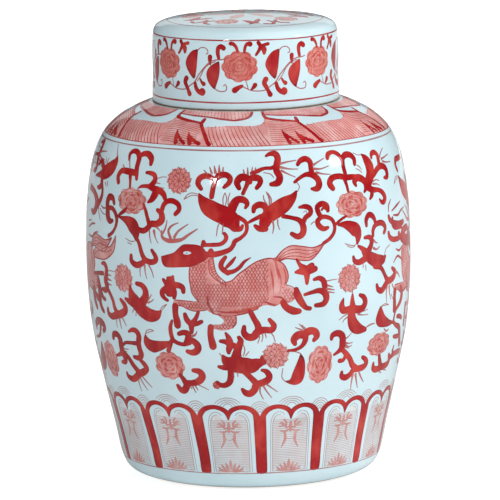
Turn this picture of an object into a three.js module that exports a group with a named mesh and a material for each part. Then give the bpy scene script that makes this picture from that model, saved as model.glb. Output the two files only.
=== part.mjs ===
// Ginger jar with a cap lid, in millimetres, +Z up. The origin is the middle of the foot, on the
// surface that the jar stands on.
//
// The jar is one thrown porcelain piece: a foot ring, a belly that swells towards its upper half, a
// rounded shoulder, a flat bare seat and a plain neck. The lid is the other piece: a tall cap that
// slides down over the neck and rests on the seat.
import * as THREE from 'three';

// Driving dimensions
const TOTAL_HEIGHT = 356;
const SEAT_HEIGHT = 289.4; // the flat ring on the shoulder that carries the lid
const WALL = 6; // thickness of the jar's wall
const FLOOR = 12; // height of the jar's inside bottom
const FOOT_INNER = 75; // radii of the ring that the jar stands on
const FOOT_OUTER = 82;
const FOOT_RECESS = 5; // how far the underside is raised inside that ring
const NECK_RADIUS = 61;
const NECK_WALL = 6;
const NECK_HEIGHT = 40; // above the seat
const LID_RADIUS = 71.8;
const LID_WALL = 5.5;
const LID_CEILING = 6.5; // thickness of the lid's top
const SEAT_GAP = 0.3; // between the resting lid and the seat
const SEGMENTS = 56; // round each piece

// Outside of the belly and shoulder, from the foot ring up to the edge of the seat: radius, height
const BODY_OUTLINE = [
  [FOOT_OUTER, 0],
  [94.2, 4.8],
  [100.4, 15],
  [106.2, 41],
  [113.9, 75],
  [121.2, 110],
  [124.9, 145],
  [125.6, 180],
  [124.2, 214],
  [119.5, 245],
  [111.8, 264.4],
  [99.8, 277],
  [86.5, 284.8],
  [75, SEAT_HEIGHT],
];

// Outside of the lid, from its rim up to the middle of its top: radius, height below the top
const LID_RIM_HEIGHT = SEAT_HEIGHT + SEAT_GAP;
const LID_HEIGHT = TOTAL_HEIGHT - LID_RIM_HEIGHT;
const LID_OUTLINE = [
  [LID_RADIUS + 0.5, LID_HEIGHT - 5],
  [LID_RADIUS - 0.2, LID_HEIGHT - 22],
  [LID_RADIUS, 30],
  [LID_RADIUS - 0.4, 15],
  [LID_RADIUS - 1.7, 9.4],
  [LID_RADIUS - 5.2, 6.1],
  [57, 3.5],
  [30, 1],
  [0, 0],
];

// A smooth curve through the points, cut into equal steps.
function smooth(points, steps) {
  const curve = new THREE.SplineCurve(points.map(([r, z]) => new THREE.Vector2(r, z)));
  return curve.getSpacedPoints(steps);
}

// The outline moved inwards, square to itself, to give a wall of even thickness.
function offset(outline, distance) {
  return outline.map((point, i) => {
    const before = outline[Math.max(i - 1, 0)];
    const after = outline[Math.min(i + 1, outline.length - 1)];
    const along = after.clone().sub(before).normalize();
    return new THREE.Vector2(point.x - along.y * distance, point.y + along.x * distance);
  });
}

// A closed body of revolution about +Z from a closed list of points, given as radius and height.
function turned(name, points, material) {
  const profile = points.map((p) => new THREE.Vector2(Math.max(p.x, 0), p.y));
  const geometry = new THREE.LatheGeometry(profile, SEGMENTS);
  geometry.rotateX(Math.PI / 2);
  const mesh = new THREE.Mesh(geometry, material);
  mesh.name = name;
  return mesh;
}

function glaze() {
  return new THREE.MeshStandardMaterial({ color: 0xdfe9ea, roughness: 0.15, metalness: 0 });
}

// The jar, followed from the middle of its underside, up the outside, over the neck and down inside.
function makeJar() {
  const outside = smooth(BODY_OUTLINE, 24);
  const belly = outside.filter((p) => p.y > FLOOR + WALL && p.y < SEAT_HEIGHT - 4);
  const inside = offset(belly, WALL).reverse();
  const neckTop = SEAT_HEIGHT + NECK_HEIGHT;
  const neckInner = NECK_RADIUS - NECK_WALL;
  const points = [
    new THREE.Vector2(0, FOOT_RECESS),
    new THREE.Vector2(FOOT_INNER - 3, FOOT_RECESS),
    new THREE.Vector2(FOOT_INNER, 0),
    ...outside,
    new THREE.Vector2(NECK_RADIUS, SEAT_HEIGHT),
    new THREE.Vector2(NECK_RADIUS, neckTop - 2),
    new THREE.Vector2(NECK_RADIUS - 1.5, neckTop),
    new THREE.Vector2(neckInner + 1.5, neckTop),
    new THREE.Vector2(neckInner, neckTop - 2),
    new THREE.Vector2(neckInner, SEAT_HEIGHT - WALL),
    new THREE.Vector2(neckInner + 4, SEAT_HEIGHT - WALL - 2),
    ...inside,
    new THREE.Vector2(80, FLOOR + 1),
    new THREE.Vector2(0, FLOOR),
  ];
  return turned('jar', points, glaze());
}

// The lid, followed from the middle of its ceiling, down the inside, round the rim and up outside.
function makeLid() {
  const outline = LID_OUTLINE.map(([r, below]) => [r, TOTAL_HEIGHT - below]);
  const outside = smooth(outline, 20);
  const inner = LID_RADIUS - LID_WALL;
  const ceiling = TOTAL_HEIGHT - LID_CEILING;
  const points = [
    new THREE.Vector2(0, ceiling),
    new THREE.Vector2(inner - 18, ceiling - 1.5),
    new THREE.Vector2(inner - 4, ceiling - 5),
    new THREE.Vector2(inner, ceiling - 10),
    new THREE.Vector2(inner, LID_RIM_HEIGHT + 1),
    new THREE.Vector2(inner + 1, LID_RIM_HEIGHT),
    new THREE.Vector2(LID_RADIUS - 1.2, LID_RIM_HEIGHT),
    new THREE.Vector2(LID_RADIUS - 0.1, LID_RIM_HEIGHT + 1.2),
    ...outside,
  ];
  return turned('lid', points, glaze());
}

const gingerJar = new THREE.Group();
gingerJar.add(makeJar(), makeLid());

export default gingerJar;
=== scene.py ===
"""Ginger jar with a cap lid: blue-white porcelain painted in iron red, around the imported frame."""
import math

import bpy
import numpy as np
from mathutils import Matrix, Vector
from mathutils.geometry import delaunay_2d_cdt


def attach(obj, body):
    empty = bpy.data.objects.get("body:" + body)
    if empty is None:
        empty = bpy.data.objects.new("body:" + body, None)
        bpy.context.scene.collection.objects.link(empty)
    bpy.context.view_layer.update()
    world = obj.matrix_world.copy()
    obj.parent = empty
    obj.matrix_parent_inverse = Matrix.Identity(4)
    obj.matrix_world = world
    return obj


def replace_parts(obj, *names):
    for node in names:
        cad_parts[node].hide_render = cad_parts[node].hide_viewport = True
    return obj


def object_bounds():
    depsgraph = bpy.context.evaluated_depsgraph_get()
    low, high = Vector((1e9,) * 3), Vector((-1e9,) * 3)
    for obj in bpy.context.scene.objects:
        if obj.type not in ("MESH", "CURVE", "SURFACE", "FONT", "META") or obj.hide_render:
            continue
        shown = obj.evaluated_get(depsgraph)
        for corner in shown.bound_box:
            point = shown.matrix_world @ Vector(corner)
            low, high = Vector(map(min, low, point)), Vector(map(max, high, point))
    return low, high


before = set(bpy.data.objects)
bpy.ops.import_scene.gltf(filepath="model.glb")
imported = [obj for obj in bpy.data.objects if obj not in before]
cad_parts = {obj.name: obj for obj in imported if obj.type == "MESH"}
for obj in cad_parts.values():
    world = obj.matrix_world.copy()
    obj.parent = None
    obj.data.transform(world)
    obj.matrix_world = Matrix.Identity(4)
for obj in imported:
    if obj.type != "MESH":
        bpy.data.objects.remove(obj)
cad_low, cad_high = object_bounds()

# Design sizes in millimetres. The frame's own height gives the scale to metres.
TOTAL_HEIGHT = 356
SEAT_HEIGHT = 289.4
WALL = 6
FLOOR = 12
FOOT_INNER = 75
FOOT_OUTER = 82
FOOT_RECESS = 5
NECK_RADIUS = 61
NECK_INNER = 55
NECK_TOP = 329.4
LID_RADIUS = 71.8
LID_INNER = 66.3
LID_RIM = 289.7
LID_CEILING = 349.5
LIP = 2.2
NECK_ROOT = SEAT_HEIGHT - WALL
MM = cad_high.z / TOTAL_HEIGHT

# Outsides, as radius and height, from the foot ring to the seat and from the lid's rim to its top
BODY_OUTLINE = (
    (FOOT_OUTER, 0), (94.2, 4.8), (100.4, 15), (106.2, 41), (113.9, 75), (121.2, 110), (124.9, 145),
    (125.6, 180), (124.2, 214), (119.5, 245), (111.8, 264.4), (99.8, 277), (86.5, 284.8),
    (75, SEAT_HEIGHT),
)
LID_OUTLINE = (
    (71.7, 290.9), (72.3, 294.7), (71.6, 311.7), (71.8, 326), (71.4, 341), (70.1, 346.6), (66.6, 349.9),
    (57, 352.5), (30, 355), (0, 356),
)

# How far the painting stands on the glaze, in millimetres
SUNK = -0.12
WASH = (0.02, 0.045)
LINE = (0.03, 0.085)
SHADE = (0.03, 0.06)
RED = (0.03, 0.11)
TINT = (0.01, 0.02)
EYE_WHITE = (0.1, 0.16)
EYE_DARK = (0.14, 0.2)
# The waves stand 0.05 higher, because the shoulder curves away under them
WAVE_WASH = (0.07, 0.095)
WAVE_LINE = (0.08, 0.135)
WAVE_RED = (0.08, 0.16)
EDGE = 1.1  # over this distance from its edge a stroke rises to its full height
SWELL = 1.15  # a wet brush spreads a little wider than its drawn stroke
LID_SWELL = 1.05
BODY_STEPS = 240

# The ends of a stroke, as angles round the cap. A hair line ends in one step.
ROUND_CAP = (32, 60, 84)
HAIR_CAP = (60,)
HAIR_END = 0.5
THINNEST = 0.12

# Linear colours
GLAZE_COOL = (0.54, 0.71, 0.775)
GLAZE_LIGHT = (0.63, 0.79, 0.845)
GLAZE_SPECK = (0.25, 0.2, 0.16)
# Biscuit is the unglazed clay's own colour, kept dark so that its slivers at the lid's rim also serve as
# painted shade under the lid
BISCUIT_DARK = (0.34, 0.26, 0.20)
BISCUIT_LIGHT = (0.52, 0.44, 0.36)
WARM = (1.0, 0.95, 0.90)

# Camera, in metres and degrees
CAMERA_DISTANCE = 4.252
CAMERA_HEIGHT = 0.841
CAMERA_TILT = 8.95
CAMERA_ROLL = 0.888
CAMERA_LENS = 399.6
CAMERA_SHIFT = 0.0032

# Where the belly's painting is repeated round the back, in degrees
BACK_TURNS = (89.5, 181.75, 274)
BACK_FROM = 79
BACK_TO = 281
BEASTS = ((0, False), (90, True), (182, False), (276.5, False))  # the one that is True looks back
LOOK_BACK = 36
LID_TOP_REPEATS = 5

# A painted stroke is a row of places: degrees round from the front, millimetres up the wall, and its width.
# A filled shape is an outline of places without a width.

# Scroll work of the belly. Groups that go round are repeated where the front leaves off.
SCROLLS = (
    # double hook above the left peony
    dict(round=True, red=(
        ((-50, 268, 2.2), (-50.4, 272.5, 3.2), (-48.6, 275, 3.6), (-46.3, 274, 4), (-44.8, 270, 4.4),
         (-44.9, 263, 4.2), (-44.5, 258, 3.6), (-44.2, 254, 2.6)),
        ((-45, 271, 3.6), (-43, 273.8, 4), (-40.6, 273.8, 4.4), (-38.6, 270.5, 4.4), (-38.4, 266.4, 3)),
        ((-54, 249.6, 3.6), (-54.6, 254, 4), (-52.8, 258.6, 4), (-49, 258.8, 4.6), (-45, 258.4, 4.4)),
        ((-47.8, 257, 3.6), (-47.3, 251.5, 2.4), (-47.1, 247.5, 2.2)),
    ), fine=(
        ((-50, 270, 1.4), (-49.2, 265, 1.2), (-48.3, 260, 1.2)), ((-52.8, 263, 1.2), (-51.6, 261, 1)),
    )),
    # leaf at the far left, with its hooks
    dict(round=False, red=(
        ((-57.9, 269, 1.4), (-58.1, 264.5, 6.5), (-60, 259.5, 10), (-63, 256, 10.5), (-66, 253.5, 9),
         (-68.5, 252, 5), (-73.5, 250, 1.2)),
        ((-66.5, 257, 5), (-68.5, 261.5, 4.4), (-70.6, 262, 3.6), (-72, 259, 2.8)),
        ((-66.3, 249, 4.5), (-66.2, 244.5, 4.6), (-68, 242, 3.6), (-69.8, 242, 2)),
        ((-66, 246, 4), (-64.7, 241, 3.4), (-64.8, 236, 4), (-66.3, 231.5, 4.5), (-68, 228, 5)),
        ((-79, 239.5, 5), (-75, 238.5, 4.5), (-71.5, 236, 5), (-69, 231, 7), (-69.8, 225, 6),
         (-72, 221.8, 4.4), (-74.5, 222.5, 3)),
    ), fine=(
        ((-58.4, 270, 1.4), (-59.4, 274, 0.9), (-60.6, 278, 0.7)), ((-64.4, 262, 1.6), (-63.8, 266, 0.8)),
        ((-65.6, 262, 1.4), (-66, 266, 0.8)), ((-63.2, 247, 1.2), (-62, 244.5, 0.8)),
        ((-61.5, 248, 1.2), (-61, 245, 0.8)), ((-64.6, 229, 1), (-62.6, 227.5, 1.6), (-61, 228, 1)),
        ((-65.4, 226.5, 1), (-63, 223.5, 1), (-61, 223, 0.8)),
        ((-66.8, 226, 1.2), (-65.8, 221, 1), (-64.8, 217.5, 0.7)), ((-80, 271.5, 0.8), (-75, 271.2, 0.8)),
        ((-80, 264.8, 0.8), (-74.4, 265, 0.8)), ((-80, 258.5, 0.8), (-75, 258.6, 0.8)),
        ((-80, 252, 0.8), (-75.5, 252, 0.8)),
    )),
    # S hook and the stem below it
    dict(round=True, red=(
        ((-55.4, 233, 3), (-56.4, 236.6, 4), (-58.6, 237, 5), (-59.9, 233, 5), (-59.4, 227, 5.5),
         (-59, 222, 5.5), (-57.6, 219, 4.6), (-55.8, 219.5, 2.6)),
        ((-59, 228.5, 3), (-56.6, 229, 3.4), (-54.6, 226.4, 3.4), (-53.3, 222, 3.6), (-53.6, 216.5, 2.8),
         (-55.4, 211, 2.6), (-58.3, 207.2, 2.8)),
        ((-52.8, 223.5, 1.6), (-51.2, 226, 2.4), (-49.2, 228.5, 3), (-48, 231, 2)),
    )),
    # pod leaf under the left peony
    dict(round=True, red=(
        ((-52, 223.4, 1.6), (-49.5, 222.6, 3.6), (-47, 221.3, 7), (-44.6, 218.5, 10), (-43.1, 213.5, 8),
         (-42.7, 208.5, 3.4)),
        ((-41.8, 216, 3.6), (-39.4, 215.4, 4), (-37.4, 218, 4), (-36, 221.2, 4.4), (-33.6, 221.6, 4.6),
         (-31.6, 225, 5), (-31.9, 230, 4.4), (-33.4, 232, 3)),
        ((-36.8, 220.5, 3.6), (-37.8, 226, 3), (-38.7, 231, 2.8), (-39.8, 235.6, 1.8)),
        ((-31.8, 231, 3.4), (-31, 236.5, 3.4), (-29.4, 239.4, 3.6), (-27.4, 239.8, 3.8),
         (-25.3, 237.6, 3.6), (-24.8, 233.6, 3.4), (-26.2, 230, 3)),
        ((-42, 208, 2.8), (-41, 203.5, 3.2), (-40, 197.5, 3.6), (-38.4, 193.2, 4), (-35.8, 192, 4),
         (-33.9, 194, 3.8), (-34.3, 197.4, 3.4), (-35.6, 201, 2.6)),
        ((-45.2, 195.2, 3), (-45, 191, 3.8), (-42.8, 188.6, 4.4), (-40.4, 190, 4.2), (-38.6, 193, 3.6)),
    ), fine=(
        ((-48, 207.8, 0.7), (-45.6, 206.2, 0.8), (-43.6, 206.6, 0.7)), ((-47, 204.8, 0.7), (-45, 204, 0.7)),
        ((-40.4, 189, 1.2), (-41, 185, 1.2), (-40.9, 180, 0.7)),
        ((-38.8, 189, 1.8), (-38.7, 184, 1.2), (-38, 179, 0.7)),
        ((-37, 189.5, 1.4), (-35.8, 185.5, 1.2), (-35, 180.5, 0.7)),
        ((-36.6, 215.6, 1.2), (-36.5, 211, 1), (-35.9, 206.6, 0.7)),
        ((-34.7, 216, 2.6), (-34.2, 211.5, 1.2), (-33, 207, 0.7)),
        ((-33.6, 219, 1.8), (-32.4, 217, 1), (-31.6, 214.6, 0.7)),
    )),
    # crossed hooks left of the upper star flower
    dict(round=True, red=(
        ((-39.8, 259.6, 2), (-38, 259.6, 3), (-36, 258.4, 3.6), (-35.4, 255, 3.8), (-36.4, 251.4, 4),
         (-37.6, 250, 3)),
        ((-43, 247, 1), (-41.4, 248.8, 2.2), (-38.5, 249.4, 3), (-35.8, 248, 4.4), (-33.2, 247, 4.6),
         (-31.4, 244.6, 4.2), (-30.4, 240.5, 3)),
        ((-37.8, 237.4, 1.8), (-36.3, 239.6, 4), (-35, 243.6, 5.4), (-34.2, 247, 4)),
    ), fine=(
        ((-34.2, 256, 0.8), (-32.4, 257.4, 0.7), (-30.4, 257.4, 0.6)),
        ((-34.8, 252.6, 1), (-33, 252.2, 0.7)), ((-34.2, 249.4, 1), (-31.2, 249, 0.6)),
    )),
    # pair of hooks with rays, left of the middle
    dict(round=True, red=(
        ((-16.8, 250, 3), (-18, 254, 3.8), (-17.2, 258.2, 4), (-14.8, 259.8, 4), (-12.6, 257.8, 3.4)),
        ((-8.3, 251.6, 2.8), (-6.7, 254.4, 3.4), (-6.2, 258, 3.8), (-7.8, 260.8, 4), (-10.2, 260, 4.4),
         (-11.6, 256.6, 3.4)),
        ((-11.5, 257, 3), (-12.3, 251, 3.4), (-12.8, 244, 3.4)),
    ), fine=(
        ((-14.6, 261, 1.6), (-16, 264, 0.8)), ((-13, 261.6, 1.8), (-13.9, 266.5, 0.8)),
        ((-11.6, 262, 2.4), (-12.2, 267.4, 0.8)), ((-10.2, 262, 2.4), (-10.4, 268, 0.8)),
        ((-9, 262, 1.8), (-8.8, 266.5, 0.8)),
    )),
    # pair of hooks over the vine, and the tall hook right of it
    dict(round=True, red=(
        ((-3, 250.6, 3), (-3.7, 255, 4.4), (-2.2, 258.8, 5), (0, 258, 4.6), (1, 255, 3)),
        ((3.3, 250.6, 2.8), (4.6, 254.4, 3.6), (4.2, 257.6, 4.4), (2.2, 258.4, 4.6), (0.6, 256.6, 3.8),
         (-0.4, 252, 2.8), (-1.6, 246.6, 2.6)),
        ((1.4, 262, 1.8), (3.4, 263, 3), (6.2, 265.2, 2.4), (9, 265.4, 2.6), (10.8, 267, 3)),
        ((7.2, 274.8, 1.8), (8.8, 276.4, 3.2), (10.8, 276.2, 4.6), (11.6, 272.6, 4.6), (11, 267.5, 4.6),
         (10.8, 263, 4.6), (11.8, 258.4, 4.6), (11, 254, 4.8), (8.6, 253, 3)),
    ), fine=(
        ((-1, 261, 1.6), (-1.4, 264.6, 0.8)), ((0.2, 261, 1.8), (0.2, 266, 0.8)),
        ((1.4, 261, 1.8), (2, 266.4, 0.8)), ((2.4, 261.4, 1.4), (3.2, 266, 0.8)),
        ((12.4, 268.4, 2.2), (14.8, 269.4, 1.4), (18.6, 270.4, 0.7)),
        ((12.4, 265.6, 2.2), (15.6, 264, 1.2), (18.8, 263.6, 0.7)),
        ((12.6, 263, 2), (14.8, 260.4, 1.2), (17.6, 257.6, 0.7)),
        ((6, 262, 0.7), (8.4, 260.8, 0.8), (9.6, 258, 0.7)),
    )),
    # hook with rays right of the tall one
    dict(round=True, red=(
        ((19, 267, 2.6), (20.2, 269.8, 3.6), (22.4, 271, 4.2), (24, 268.4, 4), (24, 263.5, 3.6),
         (24.2, 259.5, 4)),
        ((17.2, 253.8, 2), (19, 256.4, 2.4), (21.4, 258.8, 3), (24, 258.6, 4.4), (26, 255.4, 4.4),
         (26.6, 251, 4.6), (25.6, 247.8, 4.4), (23.6, 247.8, 2.2)),
    ), fine=(
        ((25, 265.6, 2), (27, 267.6, 1.4), (30, 270.2, 0.7)),
        ((25.4, 262.8, 2.2), (28, 262.4, 1.2), (31.4, 264, 0.7)),
        ((26, 260, 2), (28.6, 258.4, 1.2), (31.6, 257.6, 0.7)),
        ((18, 253.6, 0.7), (18.9, 250, 0.7), (18, 246.6, 0.7)),
    )),
    # large drooping leaf left of the vine
    dict(round=True, red=(
        ((-17.4, 245.8, 1.6), (-16.2, 241.4, 6.4), (-14, 236.4, 11), (-11.2, 232.8, 12), (-8.2, 230, 12.5),
         (-5.8, 226, 12), (-4.6, 221.6, 7)),
        ((-5.6, 222, 4), (-4.2, 219.8, 3.4), (-2.6, 219.8, 3), (-1.9, 222.4, 2)),
        ((-6.2, 231, 6), (-5, 238, 6), (-3.4, 242, 5), (-1.2, 241.6, 4.4), (-0.2, 238.6, 3.4),
         (-0.8, 235.8, 2)),
    ), fine=(
        ((-17.6, 245.6, 0.7), (-20, 246.6, 0.7), (-21.8, 245, 0.8), (-23, 241.6, 0.9)),
        ((-17.8, 244.4, 0.7), (-20, 244.8, 0.7), (-23, 241.6, 0.8)),
        ((-8.6, 238, 0.8), (-8.7, 243, 0.9), (-8, 247.4, 0.7)),
        ((-7.8, 238, 0.8), (-7.4, 243, 0.9), (-8, 247.2, 0.6)),
        ((-6.9, 238, 0.8), (-6.8, 243, 0.9), (-6.2, 247, 0.7)),
        ((-9.6, 226, 0.8), (-10.6, 221, 0.9), (-11, 214.6, 0.7)),
        ((-8.6, 225, 0.9), (-8.8, 220, 1), (-9, 216, 0.7)),
    )),
    # vine that rises from behind the horns
    dict(round=True, red=(
        ((-16, 200.8, 3.6), (-12.4, 200.4, 4), (-9, 202, 3.6), (-6.4, 204.4, 3.2), (-5.2, 207.6, 3),
         (-4.6, 210.6, 3.2), (-2.8, 212.8, 2.6), (-1, 216.4, 2.4), (-0.4, 221, 2.6), (-1, 225.4, 2.8),
         (-3.4, 229, 3)),
        ((-0.2, 224.2, 1.6), (1.8, 226.6, 2.4), (4.6, 229.4, 3)),
    )),
    # large leaf right of the vine
    dict(round=True, red=(
        ((17.5, 246.6, 1.8), (16.1, 242.4, 5.6), (13.6, 238.4, 9.5), (11, 234.8, 10.6), (8.2, 231, 10.4),
         (6.4, 227, 8.6), (5.6, 222.8, 7), (5.2, 219.6, 4.4)),
        ((6, 219.6, 4), (4, 219.8, 4), (2.5, 222, 2.6)),
        ((2, 233, 2.8), (2.4, 236.2, 3.8), (4.2, 238, 4.4), (6, 236.4, 4.4), (6.6, 232, 4)),
        ((12.4, 228.6, 3), (15.6, 227, 2.8), (18.2, 224.8, 3.6), (19.5, 220, 4.4), (19.2, 214.8, 4.4),
         (17.4, 212.6, 4), (15.3, 215, 3)),
        ((18.3, 234.6, 1.8), (20.4, 235, 3.4), (22.2, 233.4, 3.6), (22.4, 229.6, 3.4), (20.4, 226.4, 3.4),
         (19.4, 222, 3)),
    ), fine=(
        ((7, 237.6, 0.9), (5.8, 241.4, 1), (5.6, 245, 0.7)),
        ((7.6, 237.6, 1), (7.6, 242.4, 1.2), (6.6, 247.6, 0.7)),
        ((8.2, 238.4, 1), (8.3, 242, 1.2), (7.2, 246.6, 0.7)),
        ((8.6, 225.6, 1.6), (8.9, 221, 1.2), (8.5, 216, 0.7)),
        ((10.4, 226, 1.2), (10.4, 222.4, 1), (11, 218.6, 0.7)),
        ((19.8, 230.6, 0.6), (20.8, 231.8, 0.6), (21, 229.6, 0.6)),
    )),
    # curl above the tail and its stem
    dict(round=True, red=(
        ((29.2, 230.6, 3), (28.8, 234.2, 4), (27, 236, 4), (25.2, 234, 3.8), (25.4, 230, 3.6),
         (26.4, 226.4, 3.4), (28.4, 225.8, 3), (30.6, 223.4, 2.8), (31.6, 218.6, 2.6), (31.2, 213.4, 2.6),
         (29.4, 209, 2.6), (26.9, 206, 2.4)),
        ((28.8, 217.6, 2.4), (27.2, 217, 3.6), (25.4, 219.6, 4), (25, 223.4, 3.6), (26.6, 226, 3)),
        ((26.8, 231.4, 1.6), (27.6, 233, 2), (28.4, 232, 2)),
    ), fine=(
        ((22.4, 221, 0.7), (23.2, 222.6, 0.8), (24.4, 223, 0.7)),
    )),
    # pod leaf under the right peony
    dict(round=False, red=(
        ((33.2, 218.8, 1.8), (35.4, 218.6, 4.4), (38, 216.8, 7.4), (40.6, 213.2, 9.4), (41.7, 208.4, 6),
         (41.2, 203.2, 2.4)),
        ((31.6, 218.4, 1.8), (33, 220.8, 2), (34.8, 223, 2), (36.6, 224.6, 1.8)),
    ), fine=(
        ((35.8, 203.8, 0.9), (38, 202.2, 0.8), (39.8, 201.6, 0.7), (40.8, 202.8, 0.7)),
        ((36.6, 202, 0.7), (38.6, 200.4, 0.8), (40, 201, 0.7)),
    )),
    # double hook left of the right peony
    dict(round=False, red=(
        ((31.6, 270, 3), (32.2, 273, 3.4), (34.2, 274.4, 3), (36.2, 273, 3.4), (37.6, 269.4, 3.4)),
        ((43.5, 263, 2.8), (43.8, 267, 3.8), (42.4, 270.4, 4.4), (40.2, 271, 4.4), (38.4, 268.4, 3.6),
         (37.9, 263, 3.2), (38.2, 257, 3.2)),
        ((32, 246.8, 3.8), (30.9, 250.4, 4.4), (32, 254.4, 4.4), (35, 255.4, 4), (38.4, 253.8, 4.2),
         (41.4, 253.6, 3.8), (44, 252.6, 4)),
        ((37.6, 252.4, 3), (38.2, 247.6, 2.4), (38.5, 243.6, 2.2)),
    )),
    # upright leaf above and right of the right peony
    dict(round=False, red=(
        ((48.6, 269, 2), (50, 265.4, 6.4), (51.2, 260, 8.6), (51, 254.6, 8), (49.8, 249.6, 7.6),
         (48.2, 245.4, 7)),
        ((48, 247, 5), (46, 250.8, 5), (43.6, 252.4, 5), (42, 250, 4.2), (42.5, 246.8, 2.4)),
        ((49.6, 249, 3.6), (52.6, 252.4, 4), (55.4, 256, 4), (58.4, 257.8, 4.4), (61, 256, 4.6),
         (61.9, 252, 4.4), (61.2, 248.6, 4), (59.2, 248.4, 2)),
        ((53.5, 265.4, 2.2), (54.2, 268.2, 3.4), (56.2, 269.2, 3.8), (57.8, 266.8, 4), (57.6, 262, 3.8),
         (57.4, 258.6, 4)),
        ((48, 244.4, 5), (50.8, 241.4, 4.4), (53.8, 240.6, 3.2), (56.4, 238.2, 3.8), (57.9, 234, 4.4),
         (57, 230.6, 4), (55.4, 230.8, 3), (54.4, 233, 1.8)),
        ((50.4, 241, 4), (50.2, 237.8, 3.8), (49, 235, 2)), ((47.6, 244, 4), (46.4, 241, 2)),
    ), fine=(
        ((48.6, 269, 0.8), (46.2, 269.6, 0.7), (44.2, 271.6, 0.7)),
        ((44.4, 262, 0.9), (45.6, 260.6, 0.9), (46.6, 258, 0.7)),
        ((43.8, 259.4, 0.8), (45.4, 257.6, 0.9), (46.4, 255.8, 0.7)),
        ((51.6, 247.6, 1.4), (53.6, 248.4, 0.9), (55.6, 247.2, 0.7)),
        ((51.6, 245.6, 1.6), (54, 245, 0.9), (55.4, 243.6, 0.7)),
        ((59, 264.6, 1.8), (60.6, 267.4, 1.2), (63.4, 270.6, 0.8)),
        ((60, 263, 2), (62.4, 263.6, 1.2), (66, 265, 0.8)),
        ((60.4, 261, 2), (62.8, 259.6, 1.2), (66.6, 259, 0.8)),
    )),
    # hooks and leaf at the right, beside the tail
    dict(round=False, red=(
        ((46, 215.2, 2.6), (46, 219.6, 3.6), (47.4, 223, 4), (49.2, 222, 4), (50.4, 219, 3.4),
         (50.8, 216.2, 3)),
        ((49.2, 206.6, 2.8), (49.4, 211.2, 3.4), (51, 214.6, 3.8), (53.6, 215.4, 4), (55.8, 213.6, 4),
         (56.6, 210, 3.6), (55.7, 207.2, 3)),
        ((44.9, 206.2, 2.4), (47, 206.2, 3.4), (48.4, 203.6, 4.2), (48, 199.6, 4.2), (46.8, 196, 5)),
        ((41.7, 200.6, 2), (43.6, 198, 3.8), (45, 194.8, 6.4), (47, 191, 8), (49.8, 187.8, 9),
         (52.6, 186.6, 8), (54.8, 187, 6), (55.9, 188.6, 3)),
        ((39.3, 192.8, 2.4), (39.9, 189.4, 3.6), (42, 188.2, 4.2), (44.6, 190, 5)),
        ((50, 183.4, 5), (53, 181.2, 3.6), (54.6, 178, 3.4), (55.9, 174, 3.4), (57.2, 170.4, 4.4)),
        ((51, 168, 2.8), (51.8, 164.4, 4), (54, 163, 4.6), (56, 166, 5), (57.6, 169, 5), (60, 169.4, 5),
         (62.4, 171.8, 5), (62.8, 175, 4.4), (60.8, 178.2, 2.6)),
    ), fine=(
        ((49.6, 203, 2), (50.6, 201, 1.2), (51.6, 200.6, 0.7)),
        ((49.4, 197, 2.4), (51, 195.6, 1.4), (52.8, 197.4, 0.8)),
        ((55.8, 191, 0.8), (57, 194.6, 0.8), (59.4, 196.6, 0.8)), ((43.8, 186, 0.9), (43.8, 183.4, 0.8)),
        ((45, 185, 0.9), (45.2, 181, 0.7)), ((57.4, 165.6, 2), (57, 160, 1.4), (57.4, 153, 0.8)),
        ((58.8, 165, 2.2), (59.2, 159.6, 1.4), (60.4, 154, 0.8)),
        ((61, 165.4, 1.6), (62.6, 161, 1.2), (63.6, 158, 0.7)),
        ((60.4, 158, 0.8), (62.4, 153, 0.8), (64.4, 148, 0.7)),
        ((63.6, 174.6, 2.6), (65.6, 172.6, 1.8), (67.2, 169.2, 1)),
    )),
    # hook left of the left star flower, with its stem and the double hook under it
    dict(round=False, red=(
        ((-63.4, 184.6, 2.2), (-61.4, 184.8, 3.8), (-60, 181.6, 4.4), (-60.2, 176.6, 5), (-60.8, 172, 5.4),
         (-60, 167.6, 5.4), (-61.4, 164.4, 4.4), (-63.6, 164.6, 2.6)),
        ((-71, 174.6, 2.4), (-67, 176, 2.8), (-62.6, 177, 3.2)),
        ((-59.2, 165, 3.6), (-57.6, 161.4, 3.4), (-56.3, 157, 3.6), (-55.7, 152.4, 4), (-54.6, 149, 4.6)),
        ((-60.4, 150, 3), (-60.2, 146.6, 4), (-58, 144.8, 4.6), (-55, 146.6, 5.4), (-51.8, 148.6, 5.6),
         (-49.4, 151.6, 5.2), (-49.6, 156, 4.4), (-51.6, 159.6, 2.8)),
    ), fine=(
        ((-58.6, 180, 0.8), (-57, 180.6, 0.7), (-54.8, 180.4, 0.6)), ((-59, 177, 1.6), (-56.8, 176.8, 0.8)),
        ((-59.2, 173.6, 2.2), (-56.8, 173, 0.8)), ((-59, 170, 1.8), (-56.8, 169.4, 0.8)),
        ((-54.8, 145, 1.8), (-55.2, 141, 1), (-55.2, 137, 0.7)),
        ((-53.2, 145.4, 2.2), (-53, 141, 1.4), (-52.6, 136.6, 0.8)),
        ((-51.6, 146, 1.8), (-50.6, 143, 1.2), (-49.6, 139.6, 0.8)),
    )),
    # leaf with a curl, left of the raised hoof
    dict(round=True, red=(
        ((-32.6, 154.6, 2), (-34.4, 151.6, 7), (-37.2, 150.8, 9.4), (-40, 153, 10), (-42.6, 157.4, 10),
         (-44.8, 162.4, 9), (-45.8, 167.4, 5), (-46, 171.4, 2)),
        ((-41, 159, 7), (-39, 164.4, 6), (-38.9, 169.8, 4.8), (-40.4, 173.4, 4), (-42.8, 174.2, 3)),
        ((-48.8, 161, 2.4), (-47, 159.6, 4.4), (-44, 158, 7)),
    ), fine=(
        ((-37.8, 162.6, 1.6), (-37, 164.6, 1), (-36.2, 167, 0.8)),
        ((-37.8, 160.4, 1.6), (-36.4, 161.8, 1), (-35.4, 163.4, 0.8)),
        ((-44.6, 154.6, 1), (-45.6, 151.2, 0.8)), ((-43.6, 153, 1), (-44, 149, 0.8)),
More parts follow.
